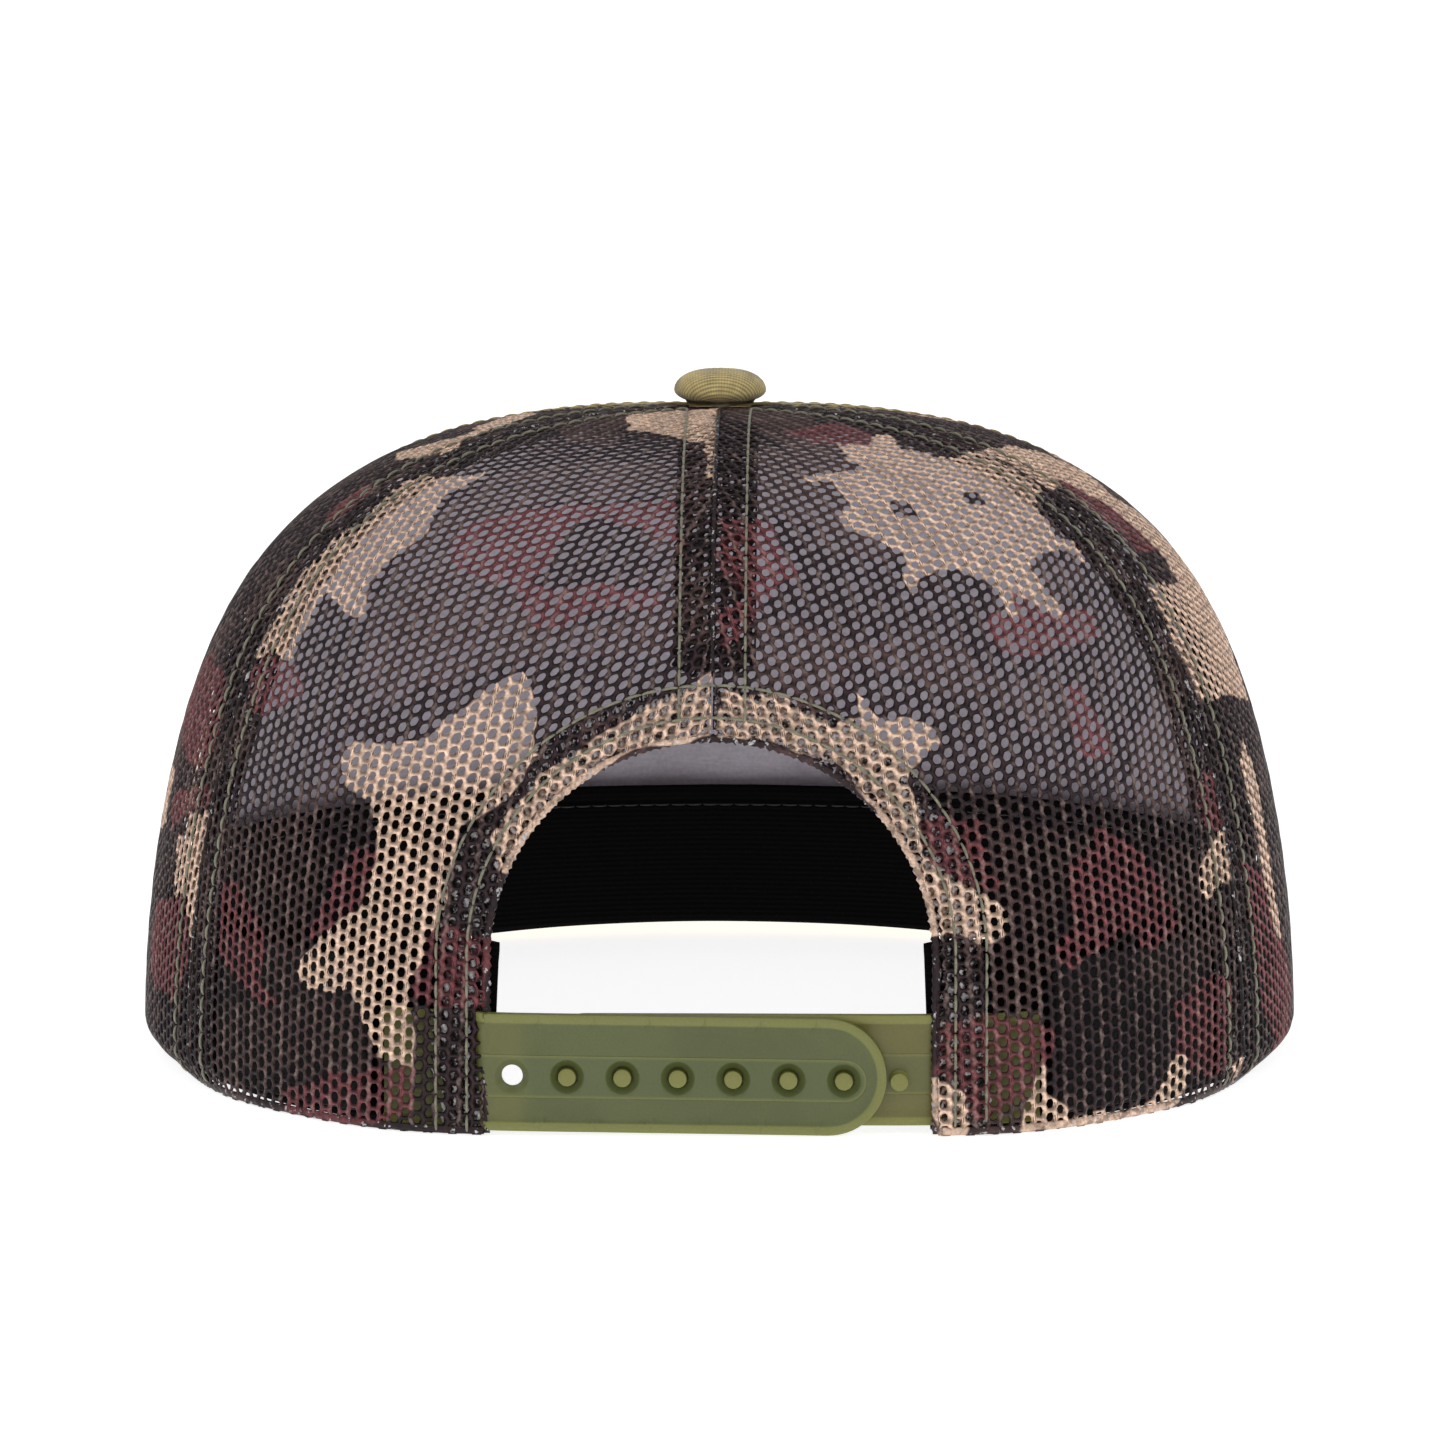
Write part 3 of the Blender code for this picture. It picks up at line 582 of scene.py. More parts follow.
WELD = 0.001 * MM         # points closer than this are one point
JITTER = 0.055 * MM       # unevenness of the yarn


def cell_points():
    """Twelve points round a cell of the staggered net, and round its hole, as shares of a turn."""
    pu, pv = MESH_ACROSS, MESH_ALONG
    near = (pu * pu - pv * pv / 4) / (2 * pu)
    far = (pu * pu + pv * pv / 4) / (2 * pu)
    corners = [(far, 0), (near, pv / 2), (-near, pv / 2), (-far, 0), (-near, -pv / 2), (near, -pv / 2)]
    outer = []
    for k, corner in enumerate(corners):
        after = corners[(k + 1) % 6]
        outer.append(corner)
        outer.append(((corner[0] + after[0]) / 2, (corner[1] + after[1]) / 2))
    angles = np.arange(12) * FULL_TURN / 12
    return np.array(outer), angles


def cell_centres(gore, phase, keep):
    """Cloth coordinates of the cells that keep wants, in staggered columns."""
    widest = gore.half * gore.radius.max() + 2 * MESH_ACROSS
    columns = int(widest / MESH_ACROSS) + 1
    rows = int(gore.along[-1] / MESH_ALONG) + 1
    i, j = np.meshgrid(np.arange(-columns, columns + 1), np.arange(-1, rows + 1))
    i, j = i.ravel(), j.ravel()
    across = i * MESH_ACROSS + phase[0] * MESH_ACROSS
    along = (j + 0.5 * (i % 2)) * MESH_ALONG + phase[1] * MESH_ALONG
    kept = keep(across, along)
    return across[kept], along[kept]


def cell_rings(across, along, shape):
    """Points shared by the cells' outlines, and the numbers of the twelve round each cell."""
    corner_a = across[:, None] + shape[:, 0]
    corner_b = along[:, None] + shape[:, 1]
    keys = np.round(np.stack((corner_a.ravel(), corner_b.ravel()), -1) / WELD).astype(np.int64)
    unique, index = np.unique(keys, axis=0, return_inverse=True)
    return unique[:, 0] * WELD, unique[:, 1] * WELD, index.reshape(corner_a.shape)


def hole_rings(across, along, odd_wale, shape, angles, hole, source):
    """Points round each hole. Higher up the cloth is stretched, so holes are wider and slanted."""
    count = len(across)
    across, along = across[:, None], along[:, None]
    size = 1 + 0.06 * source.standard_normal((count, 1))
    grow = 1 + 0.14 * smooth_step((along - 40 * MM) / (35 * MM))
    half_a = hole[0] * MM * size * grow
    half_b = hole[1] * MM * size
    square = 0.55 * half_a * shape[:, 0] / (0.62 * MESH_ACROSS)
    half_a = half_a * (1 - 0.09 * odd_wale[:, None])
    lean = 0.05 + 0.30 * smooth_step((along - 38 * MM) / (30 * MM))
    lean = lean + 0.08 * source.standard_normal((count, 1))
    ring_a = 0.45 * half_a * np.cos(angles) + square
    ring_b = 0.45 * half_b * np.sin(angles) + 0.55 * half_b * shape[:, 1] / (0.5 * MESH_ALONG)
    return across + ring_a, along + ring_b + lean * ring_a


def net_faces(index, rings):
    """Faces of a net. index numbers the points round each cell, in a front and a back layer of
    rings points; after them come the points round each hole, halfway between the layers."""
    after = np.roll(index, -1, axis=1)
    hole = 2 * rings + np.arange(index.size).reshape(index.shape)
    hole_after = np.roll(hole, -1, axis=1)
    front = np.stack((index, after, hole_after, hole), -1).reshape(-1, 4)
    back = np.stack((rings + after, rings + index, hole, hole_after), -1).reshape(-1, 4)
    edges = np.stack((index, after), -1).reshape(-1, 2)
    ordered = np.sort(edges, axis=1)
    _, first, times = np.unique(ordered, axis=0, return_index=True, return_counts=True)
    start, end = edges[first[times == 1]].T
    rim = np.stack((end, start, rings + start, rings + end), -1)
    return np.concatenate((front, back, rim))


def net(name, gore, material, layer, keep, limits, phase=(0.0, 0.0), hole=PANEL_HOLE, arch=None):
    """Knitted net over part of the crown, as real holes with rounded threads.

    keep says which cells exist, limits holds outer points inside the piece, and arch is how far
    from the arch a piece that borders on it ends.
    """
    source = np.random.default_rng(hash_name(name))
    shape, angles = cell_points()
    centre_a, centre_b = cell_centres(gore, phase, keep)
    ring_a, ring_b, index = cell_rings(centre_a, centre_b, shape)
    odd_wale = np.round(centre_a / MESH_ACROSS - phase[0]) % 2
    hole_a, hole_b = hole_rings(centre_a, centre_b, odd_wale, shape, angles, hole, source)
    rings = len(ring_a)
    ring_a = ring_a + JITTER * source.standard_normal(rings)
    ring_b = ring_b + JITTER * source.standard_normal(rings)

    across = np.concatenate((ring_a, hole_a.ravel()))
    along = np.concatenate((ring_b, hole_b.ravel()))
    margin = np.concatenate((np.zeros(rings), np.full(hole_a.size, 0.3 * MM)))
    warp_a = 0.10 * MM * wobble(across / MM, along / MM, 21, 6)
    warp_b = 0.12 * MM * wobble(across / MM, along / MM, 19, 7)
    across, along = limits(across + warp_a, along + warp_b, margin)
    bearing, climb = gore.place(across, along)
    if arch is not None:
        bearing, climb = push_out_of_arch(bearing, climb, margin + arch)
        across, along = gore.cloth(bearing, climb)

    top, bottom = layer
    ripple = 0.05 * MM * wobble(across / MM, along / MM, 9, 8)
    front = crown(bearing[:rings], climb[:rings], top + ripple[:rings])
    back = crown(bearing[:rings], climb[:rings], bottom + ripple[:rings])
    middle = crown(bearing[rings:], climb[rings:], (top + bottom) / 2 + ripple[rings:])
    points = np.concatenate((front, back, middle))
    made = new_object(name, points, net_faces(index, rings), material)
    across = np.concatenate((across[:rings], across))
    along = np.concatenate((along[:rings], along))
    cloth = np.stack((across, along, np.zeros_like(across)), -1) / MM
    store_print(made, gore.printed(across, along), cloth)
    add_cloth_map(made, across, along)
    return made


def hash_name(name):
    """Seed from the letters of a name."""
    return sum((k + 1) * ord(letter) for k, letter in enumerate(name))


def add_cloth_map(made, across, along):
    """Flat UV map of the cloth, scaled to fit the unit square."""
    mesh = made.data
    spread = max(np.ptp(across), np.ptp(along)) * 1.02
    flat = np.stack((across - across.min(), along - along.min()), -1) / spread + 0.01
    index = np.empty(len(mesh.loops), np.int32)
    mesh.loops.foreach_get("vertex_index", index)
    layer = mesh.uv_layers.new(name="cloth_map")
    layer.data.foreach_set("uv", flat[index].astype(np.float32).ravel())


def panel_net(name, gore, node, material):
    """One of the four mesh panels."""
    back = abs(gore.centre) < math.radians(45)
    top = gore.along_at_radius(CROWN_TOP_RADIUS)

    def edge(along):
        return gore.half * gore.radius_at(along) - 0.12 * MM

    def keep(across, along):
        wanted = (np.abs(across) < edge(along) - 0.2 * MM) & (along > 0.5 * MM) & (along < top)
        if back:
            bearing, climb = gore.place(across, np.maximum(along, 0))
            spot = outer_point(bearing, climb)
            wanted &= ~inside_arch(spot[..., 0], spot[..., 2], 0.4 * MM)
        return wanted

    def limits(across, along, margin):
        along = np.clip(along, margin, top + MM)
        reach = edge(along) - margin
        return np.clip(across, -reach, reach), along

    arch = 0.05 * MM if back else None
    made = net(name, gore, material, PANEL_LAYER, keep, limits, arch=arch)
    settle(made, "camo_mesh", node)


def seam_net(name, seam, node, bottom, material, phase):
    """The doubled allowance of a seam, a second layer of net below the panels."""
    gore = Gore(math.degrees(seam), 20)
    top = gore.along_at_radius(ALLOWANCE_TOP_RADIUS)

    def half(along):
        return np.minimum(SEAM_HALF - 0.1 * MM, 0.49 * gore.radius_at(along))

    def keep(across, along):
        return (np.abs(across) < half(along)) & (along > bottom + 0.5 * MM) & (along < top)

    def limits(across, along, margin):
        reach = half(along) - margin
        return np.clip(across, -reach, reach), np.maximum(along, bottom + margin)

    made = net(name, gore, material, SECOND_LAYER, keep, limits, phase, ALLOWANCE_HOLE)
    settle(made, "seam_mesh", node)


def seam_tape(name, seam, node, material):
    """Solid woven tape that covers a front seam on the inside, with softly rounded edges."""
    gore = Gore(math.degrees(seam), 20)
    along = np.linspace(MM, gore.along_at_radius(ALLOWANCE_TOP_RADIUS), 150)[:, None]
    half = np.minimum(SEAM_HALF - 0.4 * MM, 0.49 * gore.radius_at(along))
    across = np.linspace(-1, 1, 25)[None, :] * half
    along = along + 0 * across
    bearing, climb = gore.place(across, along)
    curl = 0.15 * MM * (np.abs(across) / SEAM_HALF) ** 6
    ripple = 0.05 * MM * wobble(across / MM, along / MM, 12, 12)
    outer = crown(bearing, climb, SECOND_LAYER[0] + ripple + curl)
    inner = crown(bearing, climb, SECOND_LAYER[1] + ripple - curl)
    settle(slab(name, outer, inner, material), "seam_mesh", node)


def hem_net(name, gore, node, material, phase):
    """The folded-back hem along the arch, on one back panel."""
    side = 1 if gore.centre > 0 else -1

    def keep(across, along):
        bearing, climb = gore.place(across, np.maximum(along, 0))
        spot = outer_point(bearing, climb)
        x, z = spot[..., 0], spot[..., 2]
        in_hem = inside_arch(x, z, HEM_WIDTH - 0.5 * MM) & ~inside_arch(x, z, 0.3 * MM)
        return in_hem & (side * x > 0.2 * MM) & (along > MM)

    def limits(across, along, margin):
        reach = gore.half * gore.radius_at(along) - 0.15 * MM - margin
        return np.clip(across, -reach, reach), np.maximum(along, MM + margin)

    made = net(name, gore, material, SECOND_LAYER, keep, limits, phase, HEM_HOLE, 0.1 * MM)
    settle(made, "seam_mesh", node)


# ---------------------------------------------------------------- lines on the crown and stitches
STITCH_PITCH = 3.0 * MM
STITCH_LENGTH = 2.75 * MM
STITCH_SIDES = 6


def arch_path(margin, count=220):
    """Points x and z along the arch from its left foot over the top to its right foot."""
    half, rise = ARCH_HALF + margin, ARCH_RISE + margin
    angles = np.linspace(-math.pi / 2, math.pi / 2, count)
    x = np.concatenate((np.full(40, -half), half * np.sin(angles), np.full(40, half)))
    leg = np.linspace(0.3 * MM, ARCH_STRAIGHT, 40, endpoint=False)
    z = np.concatenate((leg, ARCH_STRAIGHT + rise * np.cos(angles), leg[::-1]))
    return x, z


def arch_line(margin, depth):
    """Line along the arch at a margin from it."""
    x, z = arch_path(margin)
    bearing = bearing_at_x(x, z)
    climb = climb_at_height(bearing, z)
    return crown(bearing, climb, depth), crown_normal(bearing, climb)


def seam_line(seam, offset, bottom, depth):
    """Line beside a seam at a constant distance from it."""
    start = climb_at_height(seam, bottom)
    end = climb_at_radius(seam, SEAM_TOP_RADIUS)
    climb = np.linspace(float(start), float(end), 260)
    spot = outer_point(np.full_like(climb, seam), climb)
    radius = np.maximum(np.hypot(spot[:, 0], spot[:, 1]), abs(offset) * 1.05)
    bearing = seam + np.arcsin(np.clip(offset / radius, -1, 1))
    return crown(bearing, climb, depth), crown_normal(bearing, climb)


def line_frame(line, up):
    """Unit vectors along a line and beside it."""
    ahead = np.gradient(line, axis=0)
    ahead /= np.linalg.norm(ahead, axis=1, keepdims=True)
    out = np.cross(ahead, up)
    out /= np.linalg.norm(out, axis=1, keepdims=True)
    return ahead, out


def rings_round(spine, out, up, reach):
    """Rings of points round a spine; reach holds the radius at each point of each ring."""
    turn = np.arange(reach.shape[1])[:, None] * FULL_TURN / reach.shape[1]
    spread = np.cos(turn) * out[:, None] + np.sin(turn) * up[:, None]
    return spine[:, None] + spread * reach[..., None]


def stitches(name, lines, material, slot, radius=0.24 * MM):
    """Rows of sewing stitches along lines of points and normals."""
    source = np.random.default_rng(hash_name(name))
    shares = np.linspace(0, 1, 7)
    swell = np.sin(math.pi * shares)
    thick = np.repeat(radius * (0.55 + 0.45 * swell ** 0.5)[:, None], STITCH_SIDES, axis=1)
    lift = (swell ** 0.6 * 1.5 - 0.9)[:, None] * radius
    rings = []
    for line, normals in lines:
        run = run_of(line)
        for n in range(int(run[-1] / STITCH_PITCH)):
            start = n * STITCH_PITCH + source.uniform(0.0, 0.08) * STITCH_PITCH
            at = start + shares * STITCH_LENGTH
            if at[-1] > run[-1]:
                continue
            spine = np.stack([np.interp(at, run, line[:, c]) for c in range(3)], -1)
            up = np.stack([np.interp(at, run, normals[:, c]) for c in range(3)], -1)
            out = line_frame(spine, up)[1]
            rings.append(rings_round(spine + up * lift, out, up, thick))
    faces = []
    for k in range(len(rings)):
        faces += tube_faces(*thick.shape, k * thick.size)
    made = new_object(name, np.reshape(rings, (-1, 3)), faces, material)
    face_out(made)
    settle(made, slot)


def cord_rings(line, normals, reach):
    """Rings of a tube along a line."""
    ahead, out = line_frame(line, normals)
    return rings_round(line, out, np.cross(out, ahead), reach)


# ---------------------------------------------------------------- materials
class Nodes:
    """Small helper that adds shader nodes and links them."""

    def __init__(self, name):
        self.material = bpy.data.materials.new(name)
        self.material.use_nodes = True
        self.tree = self.material.node_tree
        self.shader = self.tree.nodes["Principled BSDF"]

    def fill(self, socket, value):
        """Link a socket to another one, or give it a value."""
        if isinstance(value, bpy.types.NodeSocket):
            self.tree.links.new(value, socket)
        else:
            socket.default_value = value

    def add(self, kind, values=None, **settings):
        node = self.tree.nodes.new(kind)
        for key, value in settings.items():
            setattr(node, key, value)
        for key, value in (values or {}).items():
            self.fill(node.inputs[key], value)
        return node

    def place(self):
        return self.add("ShaderNodeTexCoord").outputs["Object"]

    def attribute(self, name, output="Vector"):
        return self.add("ShaderNodeAttribute", attribute_name=name).outputs[output]

    def split(self, vector):
        return self.add("ShaderNodeSeparateXYZ", {0: vector}).outputs

    def noise(self, vector, scale, detail=3.0, roughness=0.55):
        values = {"Vector": vector, "Scale": scale, "Detail": detail, "Roughness": roughness}
        return self.add("ShaderNodeTexNoise", values).outputs["Fac"]

    def map_range(self, value, low, high, to_low, to_high, smooth=False):
        kind = "SMOOTHSTEP" if smooth else "LINEAR"
        values = {"Value": value, "From Min": low, "From Max": high, "To Min": to_low, "To Max": to_high}
        return self.add("ShaderNodeMapRange", values, interpolation_type=kind).outputs["Result"]

    def tones(self, spot, scale, detail, to_low, to_high, low=0.3, high=0.7):
        """Noise spread over a range of values."""
        return self.map_range(self.noise(spot, scale, detail), low, high, to_low, to_high)

    def math(self, operation, a, b=0.0):
        return self.add("ShaderNodeMath", {0: a, 1: b}, operation=operation).outputs[0]

    def times(self, a, b):
        return self.math("MULTIPLY", a, b)

    def plus(self, a, b):
        return self.math("ADD", a, b)

    def mix(self, share, a, b, blend="MIX"):
        values = {0: share, 6: a, 7: b}
        return self.add("ShaderNodeMix", values, data_type="RGBA", blend_type=blend).outputs[2]

    def shade(self, colour, *factors):
        """A colour multiplied by each factor."""
        for factor in factors:
            colour = self.mix(1.0, colour, factor, "MULTIPLY")
        return colour

    def bump(self, height, strength, distance):
        values = {"Height": height, "Strength": strength, "Distance": distance}
        self.fill(self.shader.inputs["Normal"], self.add("ShaderNodeBump", values).outputs["Normal"])

    def finish(self, colour, roughness=0.7, **inputs):
        self.fill(self.shader.inputs["Base Color"], colour)
        self.fill(self.shader.inputs["Roughness"], roughness)
        for key, value in inputs.items():
            self.fill(self.shader.inputs[key.replace("_", " ")], value)
        return self.material


CHARCOAL = (0.025, 0.0115, 0.0140, 1)
BROWN = (0.064, 0.036, 0.034, 1)
BURGUNDY = (0.150, 0.043, 0.048, 1)
TAN = (0.695, 0.490, 0.370, 1)
SLIT_SHADE = (0.010, 0.008, 0.009, 1)
GAP_SHADE = (0.012, 0.009, 0.010, 1)
YARN_SHINE = (0.42, 0.31, 0.27, 1)
PALE_YARN = (0.55, 0.52, 0.53, 1)
OLIVE_THREAD = (0.155, 0.148, 0.100, 1)
TWILL = (0.56, 0.44, 0.195, 1)


def printed_colour(n):
    """The camouflage print, from the distances stored on the mesh."""
    colour = CHARCOAL
    layers = (("brown", BROWN), ("burgundy", BURGUNDY), ("tan", TAN), ("dark", CHARCOAL))
    for attribute, paint in layers:
        distance = n.attribute(attribute, "Fac")
        share = n.map_range(distance, -0.22, 0.22, 1.0, 0.0, smooth=True)
        colour = n.mix(share, colour, paint)
    return colour


def yarn_surface(n, spot, colour):
    """Uneven glossy filament yarn."""
    colour = n.shade(colour, n.tones(spot, 520, 2, 0.72, 1.30), n.tones(spot, 2100, 2, 0.74, 1.28))
    n.bump(n.noise(spot, 3600, 2, 0.6), 0.45, 0.00012)
    return n.finish(colour, n.tones(spot, 1200, 2, 0.30, 0.55), Specular_IOR_Level=0.25)


def mesh_material():
    """Printed mesh: every second wale is a ladder of fine threads with slits between them, drawn
    near-black as painted shade; painted shade and light vary across each cell, and a painted shine lies on
    the solid wales.
    """
    n = Nodes("camo_mesh")
    spot = n.place()
    across, along = n.split(n.attribute("cloth"))[:2]
    wale_turn = n.times(across, math.pi * MM / MESH_ACROSS)
    row_turn = n.times(along, FULL_TURN * MM / MESH_ALONG)
    wale = n.math("SINE", wale_turn)
    ladder = n.map_range(wale, 0.62, 0.80, 0.0, 1.0)
    threads = n.math("SINE", n.times(across, FULL_TURN / 0.36))
    slits = n.map_range(threads, 0.0, 0.5, 0.0, 1.0)
    turned = n.plus(along, n.times(across, -0.5))
    rungs = n.math("SINE", n.times(turned, FULL_TURN * MM / MESH_ALONG))
    between = n.map_range(rungs, -0.45, -0.05, 1.0, 0.0)
    # Painted shade: the slits between the ladder's fine threads are drawn near-black, for the shade seen
    # through them
    slit = n.times(n.times(ladder, slits), between)
    colour = n.mix(n.times(slit, 0.8), printed_colour(n), SLIT_SHADE)
    # Painted shade and light: the threads around each hole are darker on one side and lighter on the other
    column = n.math("COSINE", n.plus(wale_turn, -0.45))
    row = n.math("COSINE", n.plus(row_turn, -0.8))
    colour = n.shade(colour, n.map_range(n.times(column, row), -0.75, 0.30, 0.45, 1.30, smooth=True))
    # Painted highlight: a shine colour mixed into the solid wales in noisy patches
    solid = n.map_range(wale, -0.9, -0.5, 0.35, 0.0)
    shine = n.times(solid, n.tones(spot, 800, 2, 0.0, 1.0, 0.45, 0.65))
    return yarn_surface(n, spot, n.mix(shine, colour, YARN_SHINE))


def doubled_material(name, shade, pale):
    """Turned-in mesh: its unprinted side shows as pale flecks among threads darkened by painted shade."""
    n = Nodes(name)
    spot = n.place()
    # Painted shade: near-black mixed over the print in noisy patches, at least the share shade
    gap = n.tones(spot, 620, 2, shade, min(shade + 0.45, 1.0), 0.52, 0.60)
    colour = n.mix(gap, printed_colour(n), GAP_SHADE)
    fleck = n.map_range(n.noise(spot, 900, 3, 0.6), pale, pale + 0.05, 0.0, 0.9)
    return yarn_surface(n, spot, n.mix(fleck, colour, PALE_YARN))


def scaled(paint, factor):
    """A paint made lighter or darker."""
    return tuple(min(c * factor, 1) for c in paint[:3]) + (1,)


def thread_material(name, paint):
    """Twisted sewing thread."""
    n = Nodes(name)
    spot = n.place()
    colour = n.mix(n.tones(spot, 1100, 3, 0.0, 1.0, 0.35, 0.65), paint, scaled(paint, 1.7))
    n.bump(n.noise(spot, 5200, 2), 0.4, 0.0001)
    return n.finish(colour, 0.5, Specular_IOR_Level=0.45, Sheen_Weight=0.15)


def twill_material(name, paint, turn, pitch, contrast=0.55):
    """Ribbed cotton twill: fine raised cords with painted shade in the valleys between them and painted
    highlight on their tops, slubs and slight fading.
    """
    n = Nodes(name)
    spot = n.place()
    values = {"Vector": n.attribute("cloth"), "Rotation": (0.0, 0.0, turn)}
    across, along = n.split(n.add("ShaderNodeMapping", values).outputs[0])[:2]
    drift = n.times(n.noise(spot, 120, 2), 2.2)
    wave = n.math("SINE", n.plus(n.times(across, FULL_TURN / pitch), drift))
    cross = n.math("SINE", n.times(along, FULL_TURN * 1.4 / pitch))
    ridge = n.map_range(n.plus(wave, n.times(cross, 0.35)), -1.1, 1.1, 0.0, 1.0)
    # Painted shade in the valleys and painted highlight on the cords
    colour = n.mix(ridge, scaled(paint, 1 - contrast), scaled(paint, 1.18))
    slub = n.tones(spot, 700, 3, 0.85, 1.15)
    fade = n.tones(spot, 28, 2, 0.92, 1.08)
    n.bump(n.plus(ridge, n.times(n.noise(spot, 3000, 2), 0.3)), 0.5, 0.00018)
    return n.finish(n.shade(colour, slub, fade), 0.82, Specular_IOR_Level=0.25, Sheen_Weight=0.25)


def lining_material():
    """Grey fleecy backing, streaked upwards."""
    n = Nodes("lining")
    spot = n.place()
    stretched = n.add("ShaderNodeMapping", {"Vector": spot, "Scale": (1, 1, 6)}).outputs[0]
    streak = n.tones(stretched, 260, 3, 0.0, 1.0, 0.35, 0.65)
    colour = n.mix(streak, (0.395, 0.362, 0.410, 1), (0.445, 0.408, 0.460, 1))
    colour = n.shade(colour, n.tones(spot, 45, 3, 0.90, 1.10), n.tones(spot, 1400, 3, 0.90, 1.10))
    n.bump(n.noise(spot, 2200, 3), 0.3, 0.0002)
    return n.finish(colour, 0.93, Specular_IOR_Level=0.15, Sheen_Weight=0.2)


def band_material():
    """Black woven sweatband with fine horizontal ribs, painted lighter on their tops and darker between
    them as a faint sheen, and sparse grey specks.
    """
    n = Nodes("band")
    spot = n.place()
    rib = n.math("SINE", n.times(n.split(spot)[2], FULL_TURN * 1050))
    tone = n.map_range(rib, -1, 1, 0.0, 1.0)
    # Painted sheen: the ribs lighter on their tops and darker between them
    colour = n.mix(tone, (0.0020, 0.0017, 0.0020, 1), (0.0036, 0.0032, 0.0036, 1))
    # Sparse grey specks mixed into the black
    grey_specks = n.map_range(n.noise(spot, 1900, 2, 0.5), 0.72, 0.80, 0.0, 0.25)
    colour = n.mix(grey_specks, colour, (0.05, 0.05, 0.052, 1))
    n.bump(n.plus(tone, n.noise(spot, 2400, 2)), 0.45, 0.00015)
    return n.finish(colour, 0.95, Specular_IOR_Level=0.05, Sheen_Weight=0.02)


def strap_material(name, dark, light, rim_tint_and_highlight):
    """Translucent olive plastic: satin, slightly milky, with a paler rim and a raised middle band; the rim
    and a line inside the band's edge are pale partly from thicker plastic and partly as painted highlight.
    """
    n = Nodes(name)
    spot = n.place()
    colour = n.mix(n.tones(spot, 90, 3, 0.0, 1.0, 0.35, 0.65), dark, light)
    length, to_edge, to_band = n.split(n.attribute("strap"))
    single = n.map_range(length, -31.5, -27.5, 0.75, 0.0, smooth=True)
    colour = n.mix(single, colour, (0.165, 0.165, 0.046, 1))
    band = n.map_range(to_band, -0.10, 0.10, 1.0, 0.0, smooth=True)
    # Pale line inside the raised band's edge: partly thicker plastic, partly painted highlight
    line = n.times(band, n.map_range(to_band, -0.55, -0.20, 0.0, 1.0))
    colour = n.mix(n.times(band, 0.35), colour, (0.118, 0.150, 0.055, 1))
    colour = n.mix(n.times(line, 0.6), colour, rim_tint_and_highlight)
    # Paler rim: partly thicker plastic, partly painted highlight on its bevel
    rim = n.map_range(to_edge, 1.25, 1.60, 1.0, 0.0, smooth=True)
    colour = n.mix(rim, colour, rim_tint_and_highlight)
    colour = n.shade(colour, n.tones(spot, 2600, 2, 0.94, 1.06))
    n.bump(n.plus(band, n.times(n.noise(spot, 1700, 3), 0.12)), 0.8, 0.00018)
    return n.finish(
        colour, n.tones(spot, 260, 2, 0.28, 0.40), IOR=1.46, Transmission_Weight=0.22,
        Subsurface_Weight=0.25, Subsurface_Radius=(1.0, 0.9, 0.35), Subsurface_Scale=0.0012,
    )


def plain_material(name, dark, light, scale, roughness, metallic=0.0, grain=0.2):
    """Moulded, stamped or felted part: two tones of noise and a fine surface."""
    n = Nodes(name)
    spot = n.place()
    colour = n.mix(n.tones(spot, scale, 4, 0.0, 1.0, 0.35, 0.65), dark, light)
    n.bump(n.noise(spot, scale * 6, 3), grain, 0.0002)
    return n.finish(colour, roughness, Metallic=metallic)


# ---------------------------------------------------------------- camera, light and floor
CAMERA_DISTANCE = 1.0
CAMERA_ELEVATION = math.radians(10.5)
CAMERA_AZIMUTH = math.radians(0.9)
CAMERA_LENS = 143.5
AIM = Vector((0.0004, 0.0, 0.0532))
LIGHT_AIM = Vector((0, 0, 0.05))
FLOOR_HALF = 60.0
FLOOR_LEVEL = -0.2 * MM


def make_camera():
    """Long lens, slightly above the cap."""
    flat = CAMERA_DISTANCE * math.cos(CAMERA_ELEVATION)
    height = CAMERA_DISTANCE * math.sin(CAMERA_ELEVATION)
    spot = Vector((flat * math.sin(CAMERA_AZIMUTH), -flat * math.cos(CAMERA_AZIMUTH), height))
    data = bpy.data.cameras.new("camera")
    data.lens = CAMERA_LENS
    data.sensor_width = 36
    data.clip_end = 200
    camera = bpy.data.objects.new("camera", data)
    camera.location = spot
    camera.rotation_euler = (AIM - spot).to_track_quat("-Z", "Y").to_euler()
    bpy.context.scene.collection.objects.link(camera)
    bpy.context.scene.camera = camera


def add_area(name, place, width, height, power):
    """Rectangular light aimed at the cap."""
    data = bpy.data.lights.new(name, "AREA")
    data.shape = "RECTANGLE"
    data.size = width
    data.size_y = height
    data.energy = power
    lamp = bpy.data.objects.new(name, data)
    lamp.location = place
    lamp.rotation_euler = (LIGHT_AIM - Vector(place)).to_track_quat("-Z", "Y").to_euler()
    bpy.context.scene.collection.objects.link(lamp)


